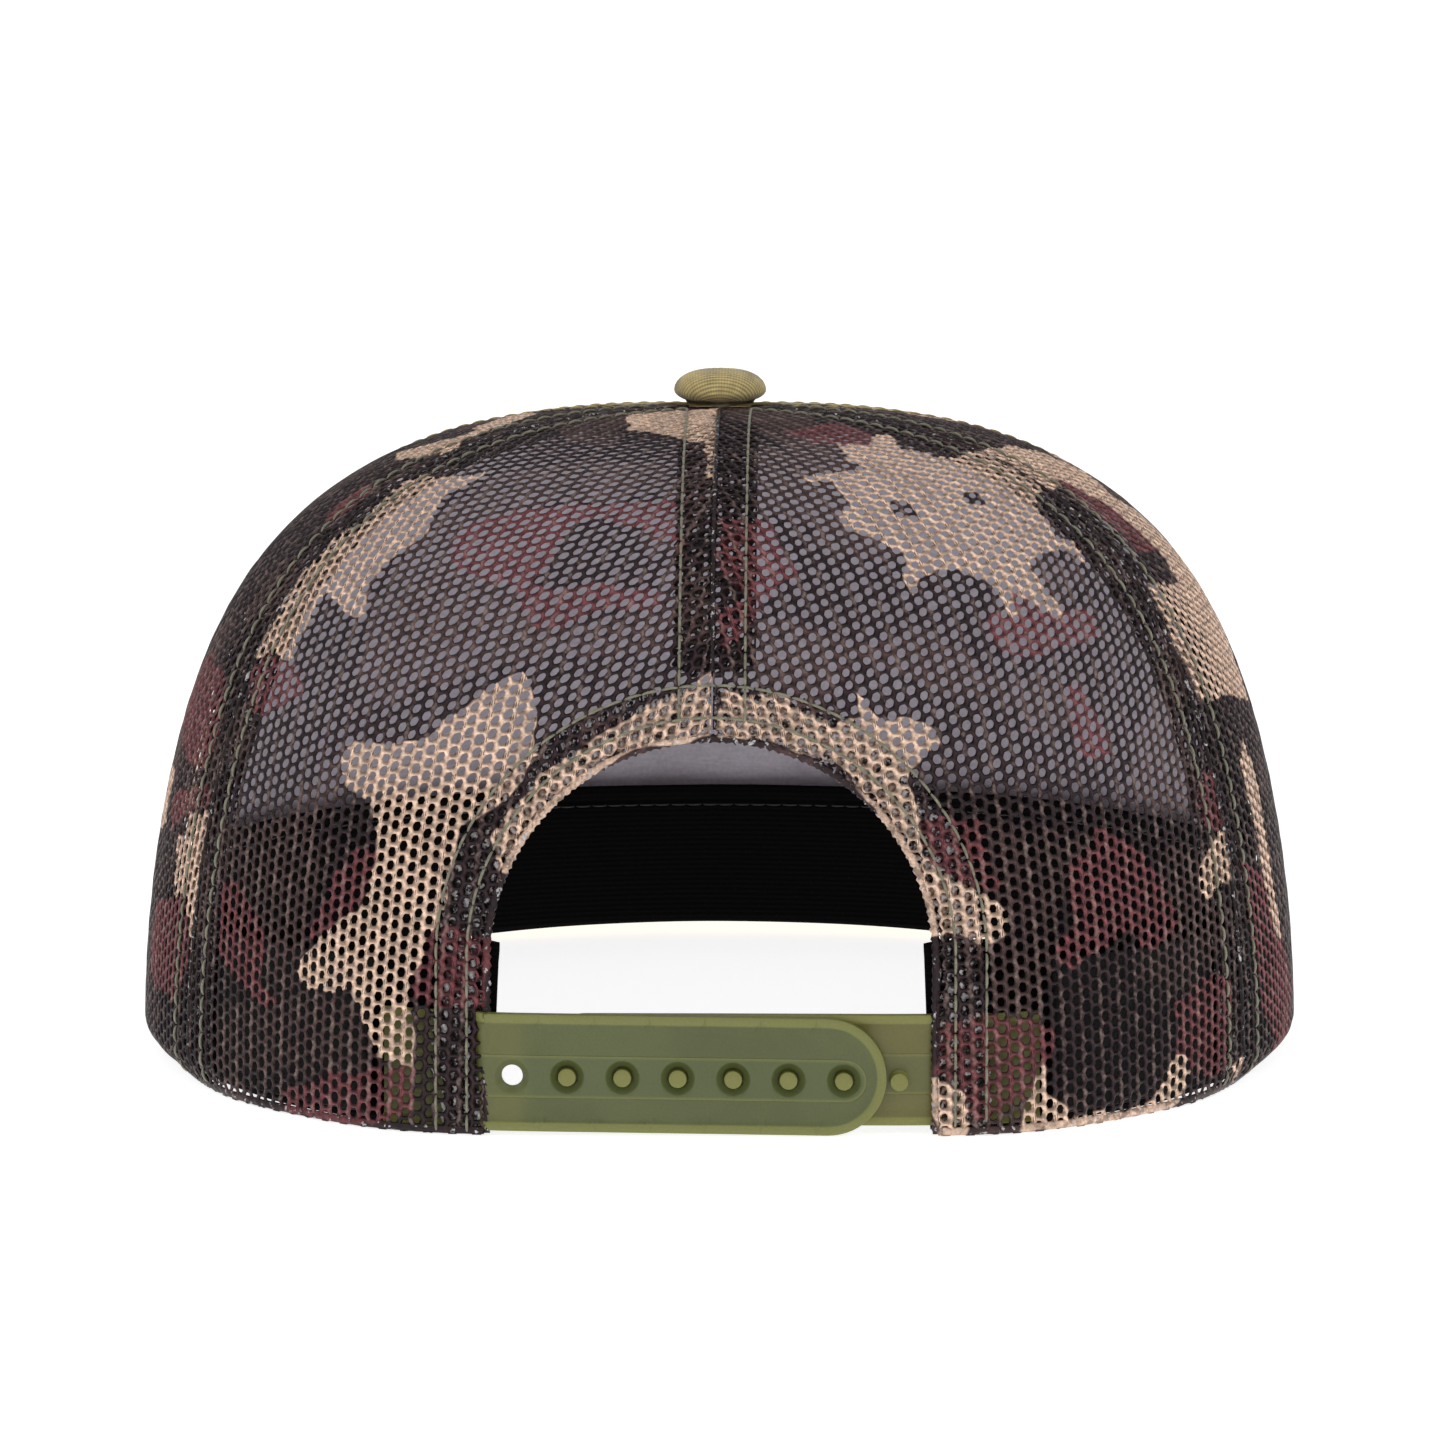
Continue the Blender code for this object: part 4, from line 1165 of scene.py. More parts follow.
def make_stage():
    """White surroundings, three soft lights and a pale floor."""
    world = bpy.data.worlds.new("studio")
    bpy.context.scene.world = world
    world.use_nodes = True
    background = world.node_tree.nodes["Background"]
    background.inputs["Color"].default_value = (1, 1, 1, 1)
    background.inputs["Strength"].default_value = 0.58
    bpy.context.scene.view_settings.view_transform = "Standard"
    add_area("key_left", (-0.9, -1.0, 1.1), 0.9, 0.7, 2.6)
    add_area("key_right", (0.9, -1.0, 1.1), 0.9, 0.7, 2.6)
    add_area("low_back", (0.0, -1.5, 0.35), 0.9, 0.35, 0.9)
    n = Nodes("floor")
    colour = n.mix(n.tones(n.place(), 6, 2, 0.0, 1.0), (0.56, 0.56, 0.56, 1), (0.60, 0.60, 0.60, 1))
    n.finish(colour, 0.9, Specular_IOR_Level=0.1, Emission_Color=(1, 1, 1, 1), Emission_Strength=0.82)
    around = ((-1, -1), (1, -1), (1, 1), (-1, 1))
    corners = [(x * FLOOR_HALF, y * FLOOR_HALF, FLOOR_LEVEL) for x, y in around]
    floor = new_object("floor", corners, [(0, 1, 2, 3)], n.material)


# ---------------------------------------------------------------- the crown's pieces
def make_nets(materials):
    """The mesh panels, the hem of the arch, and the allowances and tapes of the seams."""
    hem, doubled = materials["hem"], materials["allowance"]
    for place, gore in GORES.items():
        panel, side = place.split("_")
        panel_net("mesh_" + place, gore, f"{panel}_panel_{side}", materials["mesh"])
    hem_net("hem_left", GORES["back_left"], "arch_hem_left", hem, (0.45, 0.30))
    hem_net("hem_right", GORES["back_right"], "arch_hem_right", hem, (0.35, 0.60))
    above_hem = float(GORES["back_left"].along_at_climb(climb_at_height(0.0, HEM_TOP)))
    seam_net("allowance_back", 0.0, "back_seam", above_hem, doubled, (0.4, 0.3))
    seam_net("allowance_side_left", -SIDE_SEAM, "side_seam_left", MM, doubled, (0.3, 0.5))
    seam_net("allowance_side_right", SIDE_SEAM, "side_seam_right", MM, doubled, (0.6, 0.4))
    seam_tape("front_tape_left", -FRONT_SEAM, "front_seam_left", materials["band"])
    seam_tape("front_tape_right", FRONT_SEAM, "front_seam_right", materials["band"])


def printed_cord(name, rings, material):
    """A fold or ridge of mesh that continues the print around it."""
    made = sweep(name, rings, material)
    print_by_place(made, rings)
    settle(made, "seam_mesh")


def make_arch_edge(material):
    """The turned edge of the arch, a soft uneven fold that closes panel and hem."""
    line, normals = arch_line(-0.05 * MM, 0.75 * MM)
    run = run_of(line)[:, None] / MM
    around = np.arange(10)
    lumps = 1 + 0.30 * np.sin(run * 4.6 + around * 2.1) + 0.14 * np.sin(run * 8.9 + around)
    printed_cord("arch_edge", cord_rings(line, normals, 0.62 * MM * lumps), material)


def make_seam_ridges(material):
    """The raised line where two mesh panels meet, with pale yarn ends."""
    seams = (("back", 0.0, 72 * MM), ("left", -SIDE_SEAM, MM), ("right", SIDE_SEAM, MM))
    for side, seam, bottom in seams:
        line, normals = seam_line(seam, 0.0, bottom, 0.22 * MM)
        run = np.linspace(0, 150, len(line))[:, None]
        around = np.arange(8)
        lumps = 1 + 0.25 * np.sin(run * 2.9 + around * 1.7) + 0.15 * np.sin(run * 6.1 + around * 2.6)
        printed_cord("ridge_" + side, cord_rings(line, normals, 0.34 * MM * lumps), material)


def make_base_folds(material):
    """The mesh turned under along its lower edge, on each side from the arch to the front seam."""
    profile = np.array([
        (0.02, 0.25), (0.0, 0.7), (0.05, 1.15), (0.35, 1.35), (0.62, 1.1), (0.72, 0.7),
        (1.2, 0.55), (1.2, 0.1), (0.4, 0.05),
    ]) * MM
    start = float(bearing_at_x(ARCH_HALF + 0.3 * MM, 0.0))
    for side, sign in (("left", -1), ("right", 1)):
        bearing = sign * np.linspace(start, FRONT_SEAM - 0.002, 420)[:, None]
        lumps = 0.06 * MM * np.sin(bearing * GIRTH * 3.1 + np.arange(len(profile)) * 1.3)
        climb = climb_at_height(bearing + 0 * lumps, profile[:, 1] + 0 * lumps)
        printed_cord("base_fold_" + side, crown(bearing, climb, profile[:, 0] + lumps), material)


def make_stitching(thread, twill_thread):
    """Rows of stitches on both sides of every seam and along the arch."""
    beside = (-STITCH_OFFSET, STITCH_OFFSET)
    sides = (-SIDE_SEAM, SIDE_SEAM)
    fronts = (-FRONT_SEAM, FRONT_SEAM)
    rows = [seam_line(seam, offset, MM, -0.05 * MM) for seam in sides for offset in beside]
    rows += [seam_line(0.0, offset, 64 * MM, -0.05 * MM) for offset in beside]
    stitches("seam_stitches", rows, thread, "seam_mesh")
    rows = [seam_line(seam, offset, 5 * MM, 0.05 * MM) for seam in fronts for offset in beside]
    stitches("front_seam_stitches", rows, twill_thread, "front_fabric", 0.18 * MM)
    rows = [arch_line(margin, -0.05 * MM) for margin in (2.9 * MM, 7.8 * MM)]
    stitches("arch_stitches", rows, thread, "seam_mesh")


def front_lift(bearing):
    """The lower edge rises at the front, where the visor arches."""
    spot = outer_point(bearing, np.zeros_like(bearing))
    lift = 2.6 * MM * np.maximum(1 - (spot[..., 0] / (86 * MM)) ** 2, 0)
    return np.where(spot[..., 1] > 0, lift, 0.0)


def make_lining(material):
    """Backing inside the front panel, between the front seams."""
    rows, columns = 70, 90
    edge = FRONT_SEAM + 0.075
    bearing = np.linspace(edge, FULL_TURN - edge, columns)[None, :]
    start = climb_at_height(bearing, 1.2 * MM + front_lift(bearing))
    end = climb_at_radius(bearing, 16 * MM)
    climb = start + (end - start) * np.linspace(0, 1, rows)[:, None] ** 1.15
    bearing = np.broadcast_to(bearing, climb.shape)
    ripple = 0.12 * MM * wobble(bearing * GIRTH, climb * 150, 30, 15)
    outer, inner = (crown(bearing, climb, depth + ripple) for depth in LINING_LAYER)
    settle(slab("front_lining", outer, inner, material), "lining", "front_panel_lining")


def make_front_panel(material):
    """Outer twill of the front, tucked in along its seams."""
    rows, columns = 90, 130
    share = np.linspace(0, 1, rows)[:, None]
    across = np.linspace(-1, 1, columns)[None, :]
    highest = climb_at_radius(math.pi, CROWN_TOP_RADIUS)
    edge = math.pi + across * (math.pi - FRONT_SEAM)
    lowest = climb_at_height(edge, front_lift(edge))
    climb = lowest + share ** 1.1 * (highest - lowest)
    spot = outer_point(np.full(climb.shape, FRONT_SEAM), climb)
    radius = np.maximum(np.hypot(spot[..., 0], spot[..., 1]), 1e-4)
    half = (math.pi - FRONT_SEAM) - 0.15 * MM / radius
    bearing = math.pi + across * half
    turned = np.clip((1 - np.abs(across)) * half * radius / (1.2 * MM), 0, 1)
    dip = 0.35 * MM * (1 - turned) ** 2
    outer = crown(bearing, climb, dip - 0.02 * MM)
    inner = crown(bearing, climb, 0.6 * MM + 0 * climb)
    made = slab("front_shell", outer, inner, material)
    x, y, z = np.concatenate((outer.reshape(-1, 3), inner.reshape(-1, 3))).T
    around = np.arctan2(x, y) * np.hypot(x, y)
    along = FRONT_GORE.along_at_climb(climb_at_height(math.pi, np.maximum(z, 0)))
    add_attribute(made, "cloth", np.stack((around, along, 0 * along), -1) / MM)
    settle(made, "front_fabric", "front_panel")


def make_sweatband(material, thread):
    """Soft band with rounded edges, a sewn line below its top, and gentle puckers."""
    height = BAND_BOX[1][2]
    start = float(bearing_at_x(34.6 * MM, 15 * MM))
    bearing = np.linspace(start, FULL_TURN - start, 260)
    levels = np.array([0.25, 0.6, 1.6, 3, 7, 11, 15, 19, 23, 26, 26.6, 27.2, 28.6, 29.5, 29.9])
    puff = np.array([0.2, 0.75, 1.1, 0.95, 1, 1.05, 1.05, 1, 1, 0.85, 0.55, 0.9, 1.15, 0.8, 0.3])
    top, bottom = BAND_LAYER
    middle = (top + bottom) / 2
    z = np.concatenate((levels, levels[::-1])) * MM * height / (30 * MM)
    depth = np.concatenate((middle + puff * 0.6 * MM, middle - puff[::-1] * 0.55 * MM))
    grid_b, grid_z = np.meshgrid(bearing, z, indexing="ij")
    near_seam = np.exp(-((grid_z - BAND_SEAM_HEIGHT) / (5 * MM)) ** 2)
    pucker = 0.10 * MM * np.sin(grid_b * GIRTH + 2 * np.sin(grid_b * 17)) * near_seam
    depth = depth + pucker + 0.25 * MM * wobble(grid_b * GIRTH, grid_z / MM, 40, 31)
    corner = np.clip((np.abs(grid_b - math.pi) - (math.pi - start)) / BAND_CORNER + 1, 0, 1)
    towards_back = smooth_step((0.9 - np.abs(np.sin(grid_b / 2))) / 0.3)
    grid_z = grid_z * (1 + 0.02 * towards_back - 0.015 * corner ** 3)
    grid_z = grid_z + front_lift(grid_b) * (1 - grid_z / height)
    rings = crown(grid_b, climb_at_height(grid_b, grid_z), depth)
    rings[..., 2] = grid_z
    made = sweep("sweatband_cloth", rings, material)
    settle(made, "band", "sweatband")
    line_b = np.linspace(start + 0.01, FULL_TURN - start - 0.01, 1200)
    line_c = climb_at_height(line_b, BAND_SEAM_HEIGHT + 0.6 * MM)
    row = crown(line_b, line_c, bottom + 0.02 * MM), -crown_normal(line_b, line_c)
    stitches("band_stitches", [row], thread, "band", 0.17 * MM)


def make_padding(material):
    """Felt strip behind the sweatband, with rounded edges and a slight crown between them."""
    low, high = PADDING_BOX[0][2] + 0.5 * MM, PADDING_BOX[1][2] - 0.5 * MM
    start = float(bearing_at_x(56 * MM, 15 * MM))
    turn = np.arange(28) * FULL_TURN / 28
    swell = np.sign(np.sin(turn)) * np.abs(np.sin(turn)) ** 0.35
    rise = np.sign(np.cos(turn)) * np.abs(np.cos(turn)) ** 0.7
    height = (low + high) / 2 + (high - low) / 2 * rise
    bearing = np.linspace(start, FULL_TURN - start, 240)[:, None] + 0 * height
    ripple = wobble(bearing * GIRTH, height / MM + 0 * bearing, 14, 35)
    depth = PADDING_DEPTH + 0.50 * MM * swell + 0.04 * MM * ripple
    height = height + front_lift(bearing) * (1 - height / high)
    rings = crown(bearing, climb_at_height(bearing, height), depth)
    rings[..., 2] = height
    made = sweep("padding_felt", rings, material)
    settle(made, "padding", "sweatband_padding")


# ---------------------------------------------------------------- the snap strap
STRAP_BOTTOM = HOLE_STRAP_BOX[0][2]
STRAP_HEIGHT = HOLE_STRAP_BOX[1][2] - HOLE_STRAP_BOX[0][2]
STRAP_MIDDLE = STRAP_HEIGHT / 2
STRAP_THICKNESS = 1.5 * MM
STRAP_RIM = 1.5 * MM
STRAP_RIM_RAISE = 0.36 * MM
HOLE_END = HOLE_STRAP_BOX[1][0]
PEG_END = PEG_STRAP_BOX[0][0]
SNAP_PITCH = 8.7 * MM
FIRST_HOLE = -31.3 * MM
SNAP_COUNT = 7
SNAP_LINE = 8.7 * MM
HOLE_THROUGH = 1.7 * MM
HOLE_RIM = 2.7 * MM
TAB_DEPTH = 2.1 * MM
PEG_STRAP_DEPTH = 1.8 * MM
PEG_STRAP_RIM_RAISE = 0.18 * MM
TAB_END = 53 * MM
# Levels of the points across a strap, closer together at its rims
SIDE_SAMPLES = np.array([0, 0.22, 1.33, 1.67, 3.2, 5.0, 6.7, 8.0, 9.3]) / 9.3
SIDE_SAMPLES = np.concatenate((SIDE_SAMPLES, 2 - SIDE_SAMPLES[-2::-1])) * STRAP_MIDDLE


class FlatStrap:
    """A strap laid flat: points by length, height and rise, and the faces between them."""

    def __init__(self):
        self.points = []
        self.count = 0
        self.faces = []

    def add(self, x, w, rise):
        """Add a grid of points and return their numbers."""
        grid = np.stack(np.broadcast_arrays(x, w, rise), -1)
        self.points.append(grid.reshape(-1, 3))
        first = self.count
        self.count += grid[..., 0].size
        return np.arange(first, self.count).reshape(grid.shape[:-1])

    def join(self, index):
        """Join a grid of points with quads."""
        self.faces += quads(index).tolist()


def strap_place(x, w, depth):
    """World point of a strap's own length, height and depth coordinates."""
    x, w, depth = np.broadcast_arrays(x, w, depth)
    upright = smooth_step((np.abs(x) - 36 * MM) / (5 * MM))
    height = STRAP_BOTTOM + w
    base = crown(bearing_at_x(x, 0.0), np.zeros_like(x), depth)
    base[..., 2] = height
    bearing = bearing_at_x(x, height)
    leaning = crown(bearing, climb_at_height(bearing, height), depth)
    return base + (leaning - base) * upright[..., None]


def edge_distance(x, w, end):
    """Distance to the strap's outline, positive inside."""
    way = math.copysign(1, end)
    radius = STRAP_HEIGHT / 2
    centre = end - way * radius
    beyond = way * (x - centre) > 0
    round_gap = radius - np.hypot(x - centre, w - STRAP_MIDDLE)
    return np.where(beyond, round_gap, np.minimum(w, STRAP_HEIGHT - w))


def face_raise(x, w, end, rim=STRAP_RIM_RAISE):
    """How far the outer face stands out: the raised rim, with softened edges."""
    gap = edge_distance(x, w, end)
    raised = rim * smooth_step((STRAP_RIM + 0.15 * MM - gap) / (0.3 * MM))
    return raised - 0.12 * MM * (1 - smooth_step(gap / (0.22 * MM)))


def band_distance(x, w, end):
    """Distance in millimetres to the middle band, negative inside it."""
    half = 3.4 * MM
    way = math.copysign(1, end)
    stop = end - way * (3.1 * MM + half)
    beyond = np.maximum(way * (x - stop), 0)
    return (np.hypot(beyond, w - SNAP_LINE) - half) / MM


def outer_lift(x, w):
    """The outer strap sits aslant: its root high and its round end low."""
    share = np.clip((x - FIRST_HOLE) / (HOLE_END - FIRST_HOLE), -0.1, 1)
    return (0.40 - 0.72 * share) * MM + 0 * w


def inner_lift(x, w):
    """The inner strap is slightly narrower and peeks out above the outer one."""
    return 0.55 * MM + 0.055 * (STRAP_MIDDLE - w) + 0 * x


def hole_strap_depth(x):
    """The outer strap dives under the mesh at its tab."""
    return TAB_DEPTH * smooth_step((-x - 35.0 * MM) / (3.5 * MM))


def peg_strap_depth(x):
    """The inner strap lies behind the outer one all along."""
    return PEG_STRAP_DEPTH + (TAB_DEPTH - PEG_STRAP_DEPTH) * smooth_step((x - 34 * MM) / (3 * MM))


# Radius and rise of the rings from the back of a hole to its countersunk rim
COUNTERSINK = (
    (HOLE_THROUGH, -STRAP_THICKNESS),
    (HOLE_THROUGH, -0.85 * MM),
    (HOLE_THROUGH + 0.12 * MM, -0.72 * MM),
    (HOLE_RIM - 0.35 * MM, -0.45 * MM),
    (HOLE_RIM - 0.08 * MM, -0.12 * MM),
    (HOLE_RIM + 0.1 * MM, 0.0),
)


def tile_outline(left, right, end):
    """Points round one strap tile, counter-clockwise from its lower right or the foot of its end."""
    down = np.stack((np.full_like(SIDE_SAMPLES, left), SIDE_SAMPLES[::-1]), -1)
    if end is None:
        up = np.stack((np.full_like(SIDE_SAMPLES, right), SIDE_SAMPLES), -1)
        along = np.linspace(right, left, 9)
        top = np.stack((along, np.full_like(along, STRAP_HEIGHT)), -1)
        bottom = np.stack((along[::-1], np.zeros_like(along)), -1)
        return np.concatenate((up[:-1], top[:-1], down[:-1], bottom[:-1]))
    radius = STRAP_HEIGHT / 2
    centre = end - radius
    angles = np.linspace(-math.pi / 2, math.pi / 2, 29)
    turned = (centre + radius * np.cos(angles), STRAP_MIDDLE + radius * np.sin(angles))
    between = (centre + left) / 2
    return np.concatenate((np.stack(turned, -1), [(between, STRAP_HEIGHT)], down, [(between, 0.0)]))


def add_tile(strap, left, right, centre, end):
    """One length of the strap with its countersunk hole."""
    outline = tile_outline(left, right, end)
    edge_x, edge_w = outline.T
    angle = np.arctan2(edge_w - SNAP_LINE, edge_x - centre)
    rings = []
    for radius, rise in COUNTERSINK:
        x = centre + radius * np.cos(angle)
        w = SNAP_LINE + radius * np.sin(angle)
        rings.append((x, w, np.full_like(x, rise)))
    start_x, start_w = rings[-1][:2]
    for share in (0.15, 0.35, 0.6, 0.745, 0.80, 0.90, 0.97, 1.0):
        x = start_x + (edge_x - start_x) * share
        w = start_w + (edge_w - start_w) * share
        rings.append((x, w, face_raise(x, w, HOLE_END)))
    rings.append((edge_x, edge_w, np.full_like(edge_x, -STRAP_THICKNESS)))
    index = closed(strap.add(*np.stack(rings, 1)))
    strap.join(index[:-1])
    strap.join(index[[-1, 0]])
    middle_x, middle_w = (outline + np.roll(outline, -1, axis=0)).T / 2
    on_edge = edge_distance(middle_x, middle_w, HOLE_END) < 0.15 * MM
    strap.faces += quads(index[-2:])[on_edge].tolist()


def add_strap_grid(strap, stations, end, rim, close_last=False):
    """Plain stretch of strap from its tab, closed along its edges; it narrows along a round end."""
    radius = STRAP_HEIGHT / 2
    way = math.copysign(1, end)
    beyond = np.maximum(way * (stations - (end - way * radius)), 0.0)[:, None]
    reach = np.sqrt(np.maximum(radius ** 2 - beyond ** 2, 0.0))
    w = STRAP_MIDDLE + (SIDE_SAMPLES - STRAP_MIDDLE) / radius * reach
    x = stations[:, None] + 0 * w
    rise = np.stack((face_raise(x, w, end, rim), np.full_like(x, -STRAP_THICKNESS)), 1)
    index = strap.add(x[:, None], w[:, None], rise)
    front, back = index[:, 0], index[:, 1]
    strap.join(front.T)
    strap.join(back)
    for k in (0, -1):
        strap.join(np.stack((front[:, k], back[:, k]), 1))
    for k in (0, -1) if close_last else (0,):
        strap.join(index[k])


def finish_strap(name, body, strap, sheet_count, end, depth_of, lift_of, material):
    """Bend the flat strap to the crown; points past sheet_count are pegs, which follow the outer strap."""
    x, w, rise = np.concatenate(strap.points).T
    raised = np.arange(len(x)) >= sheet_count
    lift = np.where(raised, outer_lift(x, w), lift_of(x, w))
    points = strap_place(x, w + lift, depth_of(x) - rise + 0.3 * MM)
    made = new_object(name, points, strap.faces, material)
    gap = np.where(raised, 0.0, edge_distance(x, w, end) / MM)
    add_attribute(made, "strap", np.stack((x / MM, gap, band_distance(x, w, end)), -1))
    bm = bmesh.new()
    bm.from_mesh(made.data)
    bmesh.ops.remove_doubles(bm, verts=bm.verts, dist=WELD)
    bm.to_mesh(made.data)
    bm.free()
    face_out(made)
    made.data.shade_smooth()
    made.data.set_sharp_from_angle(angle=math.radians(38))
    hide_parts(body, body + "_tab")
    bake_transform(made)


def make_hole_strap(material):
    """Outer strap: a plain tab, then a tile for each hole."""
    strap = FlatStrap()
    root = FIRST_HOLE - SNAP_PITCH / 2
    tab = np.concatenate((np.linspace(-TAB_END, -40 * MM, 9), np.linspace(-39 * MM, root, 9)))
    add_strap_grid(strap, tab, HOLE_END, STRAP_RIM_RAISE)
    for k in range(SNAP_COUNT):
        left = root + SNAP_PITCH * k
        end = HOLE_END if k == SNAP_COUNT - 1 else None
        add_tile(strap, left, left + SNAP_PITCH, FIRST_HOLE + SNAP_PITCH * k, end)
    ways = (HOLE_END, hole_strap_depth, outer_lift)
    finish_strap("outer_strap", "hole_strap", strap, strap.count, *ways, material)


def make_peg_strap(material):
    """Inner strap: one plain stretch with a round end, and its pegs."""
    strap = FlatStrap()
    radius = STRAP_HEIGHT / 2
    centre = PEG_END + radius
    angles = np.radians(np.array([12, 24, 36, 48, 58, 67, 75, 82, 88]))
    stations = np.concatenate((np.linspace(TAB_END, centre, 90), centre - radius * np.sin(angles)))
    add_strap_grid(strap, stations, PEG_END, PEG_STRAP_RIM_RAISE, close_last=True)
    sheet_count = strap.count
    add_pegs(strap)
    ways = (PEG_END, peg_strap_depth, inner_lift)
    finish_strap("inner_strap", "peg_strap", strap, sheet_count, *ways, material)


def add_pegs(strap):
    """Mushroom pegs that stand on the inner strap's outer face."""
    profile = np.array([
        (1.75, -0.25), (1.55, 0.02), (1.32, 0.18), (1.22, 0.5), (1.22, 1.55), (1.30, 1.72),
        (1.42, 1.85), (1.43, 2.15), (1.36, 2.32), (1.18, 2.42), (0.7, 2.46), (0.25, 2.47),
    ]) * MM
    radius, rise = profile[:, :1], profile[:, 1:]
    turn = np.arange(28) * FULL_TURN / 28
    for k in range(1, SNAP_COUNT + 1):
        centre = FIRST_HOLE + SNAP_PITCH * k
        first = strap.count
        strap.add(centre + radius * np.cos(turn), SNAP_LINE + radius * np.sin(turn), rise)
        strap.faces += tube_faces(len(profile), len(turn), first)


# ---------------------------------------------------------------- visor and button
VISOR_HALF = VISOR_TOP_BOX[1][0]
VISOR_TIP = VISOR_TOP_BOX[1][1]
VISOR_ROOT_HALF = 85 * MM
VISOR_POWER = 2.3
VISOR_ARCH = 4.5 * MM
VISOR_THICK = 4.2 * MM
STITCH_MARGINS = np.array([4, 10, 16, 22, 28, 34]) * MM


def visor_inner(share):
    """Where the visor meets the crown; share runs from one side to the other."""
    bearing = math.pi / 2
    for _ in range(30):
        spot = outer_point(bearing, climb_at_height(bearing, 8 * MM))
        bearing = math.pi - math.asin(min(VISOR_ROOT_HALF / math.hypot(spot[0], spot[1]), 1))
    around = bearing + (FULL_TURN - 2 * bearing) * share
    radius = np.zeros_like(around)
    for height in (0.0, 4 * MM, 8 * MM):
        spot = outer_point(around, climb_at_height(around, height))
        radius = np.maximum(radius, np.hypot(spot[..., 0], spot[..., 1]))
    radius = radius + 0.35 * MM
    return np.stack((np.sin(around) * radius, -np.cos(around) * radius), -1)


def visor_outer(share, margin, root_y):
    """The visor's rim, or a line at a margin inside it."""
    angle = math.pi / 2 - math.pi * share
    power = 2 / VISOR_POWER
    x = (VISOR_HALF - margin) * np.sign(angle) * np.abs(np.sin(angle)) ** power
    y = root_y + (VISOR_TIP - margin - root_y) * np.maximum(np.cos(angle), 0) ** power
    return np.stack((x, y), -1)


def visor_base(x):
    """Height of the arched visor's underside."""
    return VISOR_ARCH * np.maximum(1 - (x / VISOR_HALF) ** 2, 0)


def make_visor_cover(name, node, sign, material):
    """One fabric face of the visor, turned over the rim to meet the other; sign is 1 on top."""
    columns, rows = 150, 50
    share = np.linspace(0, 1, columns)
    inner = visor_inner(share)
    outer = visor_outer(share, 0.0, inner[0, 1])
    steps = 1 - (1 - np.linspace(0, 1, rows)) ** 1.5
    flat = inner[None] + (outer - inner)[None] * steps[:, None, None]
    to_rim = np.linalg.norm(outer - inner, axis=1)[None, :] * (1 - steps[:, None])
    droop = np.sqrt(np.clip(1 - (1 - np.clip(to_rim / (2.1 * MM), 0, 1)) ** 2, 0, 1))
    middle = visor_base(flat[..., 0]) + VISOR_THICK / 2
    reach = VISOR_THICK / 2 - 0.05 * MM
    grooves = sum(np.exp(-((to_rim - margin) / (0.7 * MM)) ** 2) for margin in STITCH_MARGINS)
    shown = middle + sign * (reach * droop - 0.12 * MM * grooves)
    hidden = middle + sign * np.maximum((reach - 0.8 * MM) * droop, 0.0) + sign * 0.02 * MM
    sides = [np.concatenate((flat, level[..., None]), -1) for level in (shown, hidden)]
    made = slab(name, *sides, material)
    face_out(made)
    add_attribute(made, "cloth", np.concatenate(sides).reshape(-1, 3) / MM)
    settle(made, "front_fabric", node)


def make_visor_stitches(thread):
    """Rows of stitches on both faces of the visor, parallel to its rim."""
    share = np.linspace(0, 1, 600)
    root_y = visor_inner(share)[0, 1]
    for side, sign in (("top", 1), ("under", -1)):
        lines = []
        for margin in STITCH_MARGINS:
            flat = visor_outer(share, margin, root_y)
            x, y = flat.T
            clear = np.hypot(x / (HALF_WIDTH + 3 * MM), y / (FRONT_LENGTH + 3 * MM)) > 1.0
            flat = flat[clear & (y > root_y + 2 * MM)]
            level = visor_base(flat[:, 0]) + VISOR_THICK / 2 + sign * (VISOR_THICK / 2 - 0.1 * MM)
            line = np.concatenate((flat, level[:, None]), -1)
            lines.append((line, np.zeros_like(line) + (0, 0, sign)))
        stitches("visor_stitches_" + side, lines, thread, "front_fabric", 0.2 * MM)


def make_button(material):
    """Cloth-covered button: a flat-bottomed dome with fine ribs of cloth running across it."""
    low, high = BUTTON_BOX[0][2], BUTTON_BOX[1][2]
    degrees = np.linspace(-62, 90, 46)
    upper = degrees > 0
    tilt = np.radians(degrees)
    radius = BUTTON_BOX[1][0] * np.cos(tilt) ** np.where(upper, 0.75, 0.9)
    level = low + (high - low) * (0.36 + np.where(upper, 0.64, 0.40) * np.sin(tilt))
    profile = np.stack((radius, level), -1)
    reach = run_of(profile[::-1])[::-1, None]
    turn = np.arange(180) * FULL_TURN / 180
    x, y = np.cos(turn), np.sin(turn)
    ribs = np.sin(FULL_TURN * (y * reach / MM + 0.12 * np.sin(x * reach * 900)) / 0.72)
    radius = np.maximum(radius[:, None], 0.02 * MM) * (1 + 0.010 * ribs)
    level = np.minimum(level[:, None] + 0.05 * MM * ribs, high + 0.2 * MM)
    made = sweep("button_cloth", np.stack((x * radius, y * radius, level), -1), material)
    cloth = np.stack((x * reach, y * reach, 0 * ribs), -1) / MM
    add_attribute(made, "cloth", cloth.reshape(-1, 3))
    settle(made, "front_fabric", "button_cover")


def dress_frame_nodes(materials):
    """Hidden parts that keep their own shape get real surfaces."""
    hard = {
        "button_shell": "metal",
        "button_post": "metal",
        "button_washer": "metal",
        "visor_board": "board",
    }
    for node, key in hard.items():
        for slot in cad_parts[node].material_slots:
            slot.material = materials[key]


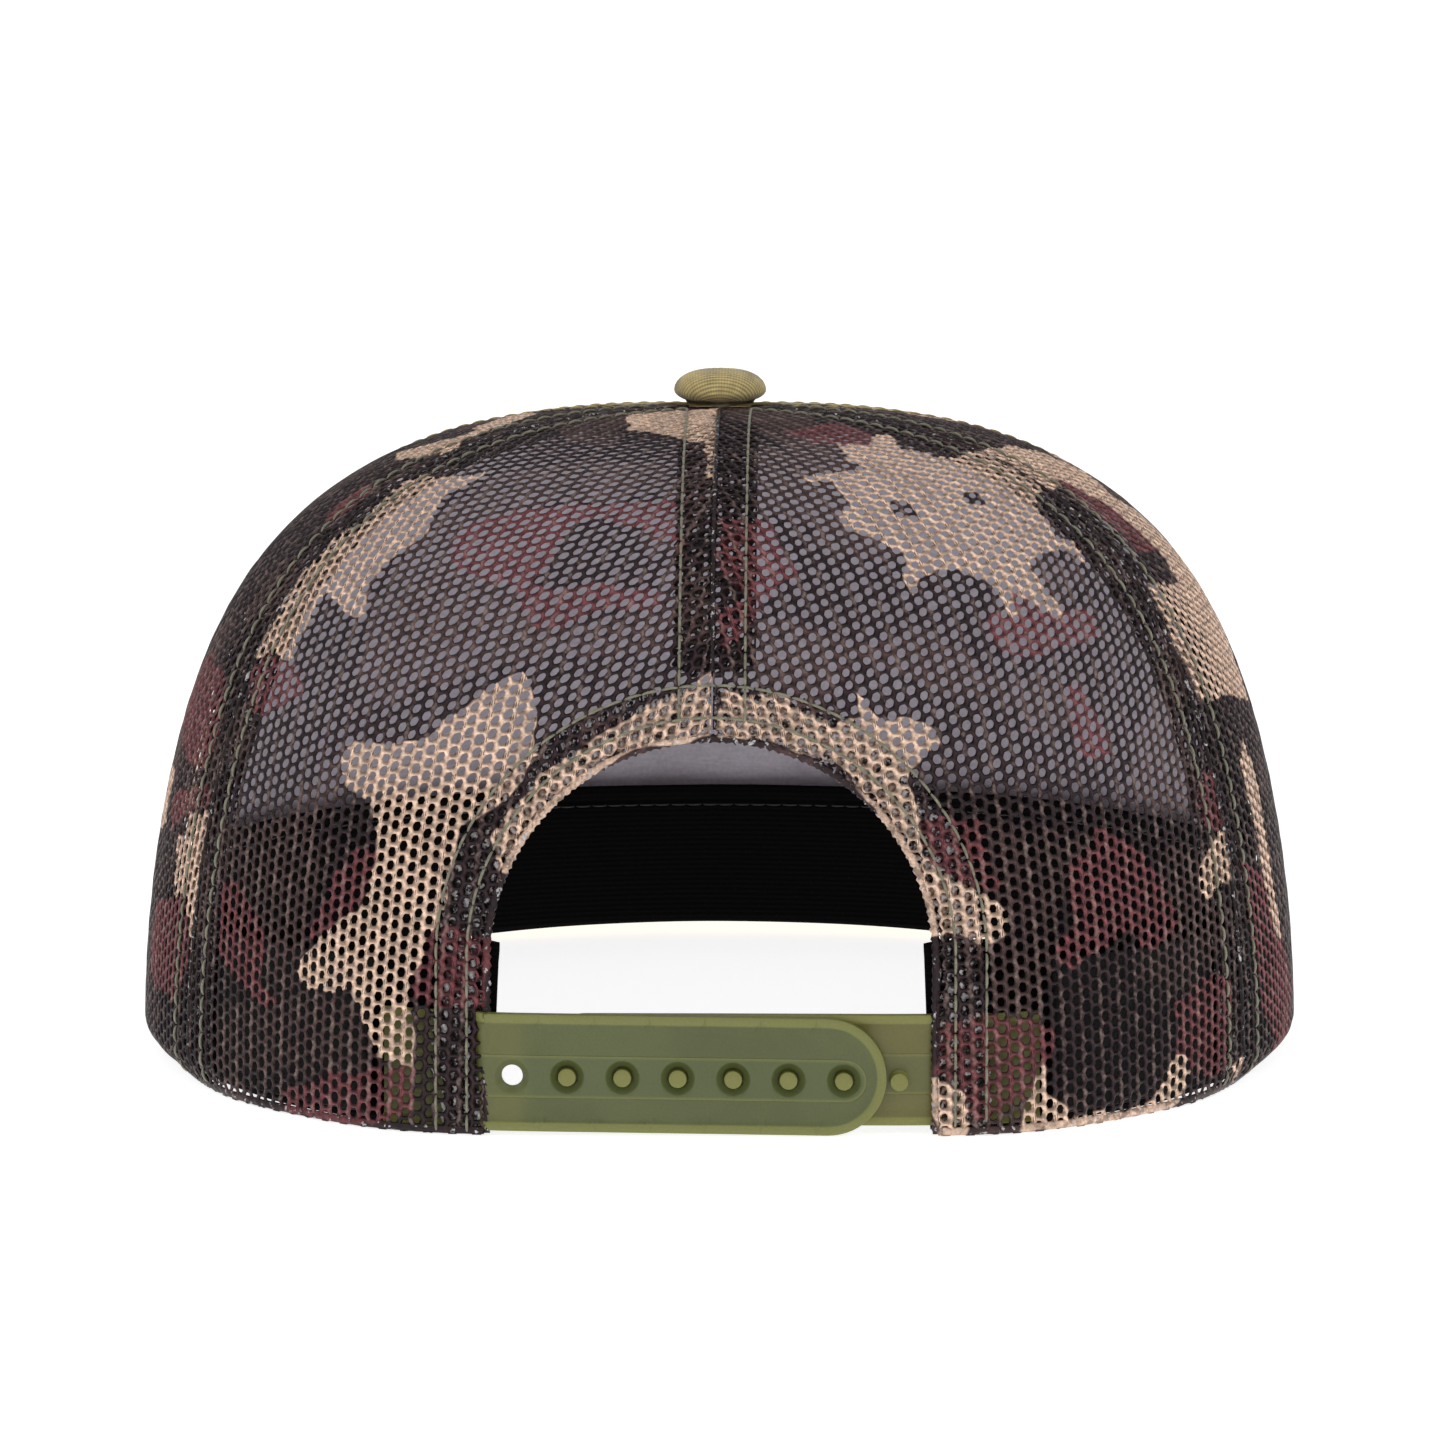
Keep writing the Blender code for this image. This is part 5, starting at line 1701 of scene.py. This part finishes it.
def make_materials():
    return {
        "mesh": mesh_material(),
        "hem": doubled_material("camo_hem", 0.55, 0.50),
        "allowance": doubled_material("camo_allowance", 0.55, 0.58),
        "fold": doubled_material("camo_fold", 0.08, 0.60),
        "thread": thread_material("olive_thread", OLIVE_THREAD),
        "twill_thread": thread_material("twill_thread", (0.30, 0.24, 0.09, 1)),
        "black_thread": thread_material("black_thread", (0.008, 0.008, 0.009, 1)),
        "twill": twill_material("front_twill", TWILL, 0.8, 0.85),
        "visor": twill_material("visor_twill", TWILL, 0.8, 0.85),
        "button": twill_material("button_rib", TWILL, math.pi / 2, 0.72),
        "lining": lining_material(),
        "band": band_material(),
        "outer_strap": strap_material(
            "outer_strap", (0.112, 0.130, 0.042, 1), (0.128, 0.148, 0.050, 1), (0.235, 0.245, 0.068, 1)
        ),
        "inner_strap": strap_material(
            "inner_strap", (0.160, 0.150, 0.040, 1), (0.180, 0.168, 0.046, 1), (0.250, 0.250, 0.066, 1)
        ),
        "metal": plain_material("metal", (0.50, 0.45, 0.30, 1), (0.62, 0.57, 0.42, 1), 120, 0.35, 1.0),
        "board": plain_material("board", (0.52, 0.52, 0.50, 1), (0.62, 0.62, 0.60, 1), 60, 0.6),
        "felt": plain_material(
            "felt", (0.006, 0.006, 0.0065, 1), (0.014, 0.014, 0.015, 1), 900, 0.95, grain=0.6
        ),
    }


def main():
    make_camera()
    make_stage()
    materials = make_materials()
    make_nets(materials)
    make_arch_edge(materials["fold"])
    make_base_folds(materials["fold"])
    make_seam_ridges(materials["allowance"])
    make_stitching(materials["thread"], materials["twill_thread"])
    make_lining(materials["lining"])
    make_front_panel(materials["twill"])
    make_sweatband(materials["band"], materials["black_thread"])
    make_padding(materials["felt"])
    make_hole_strap(materials["outer_strap"])
    make_peg_strap(materials["inner_strap"])
    make_visor_cover("visor_top", "visor_top_cover", 1, materials["visor"])
    make_visor_cover("visor_under", "visor_under_cover", -1, materials["visor"])
    make_visor_stitches(materials["twill_thread"])
    make_button(materials["button"])
    dress_frame_nodes(materials)


main()
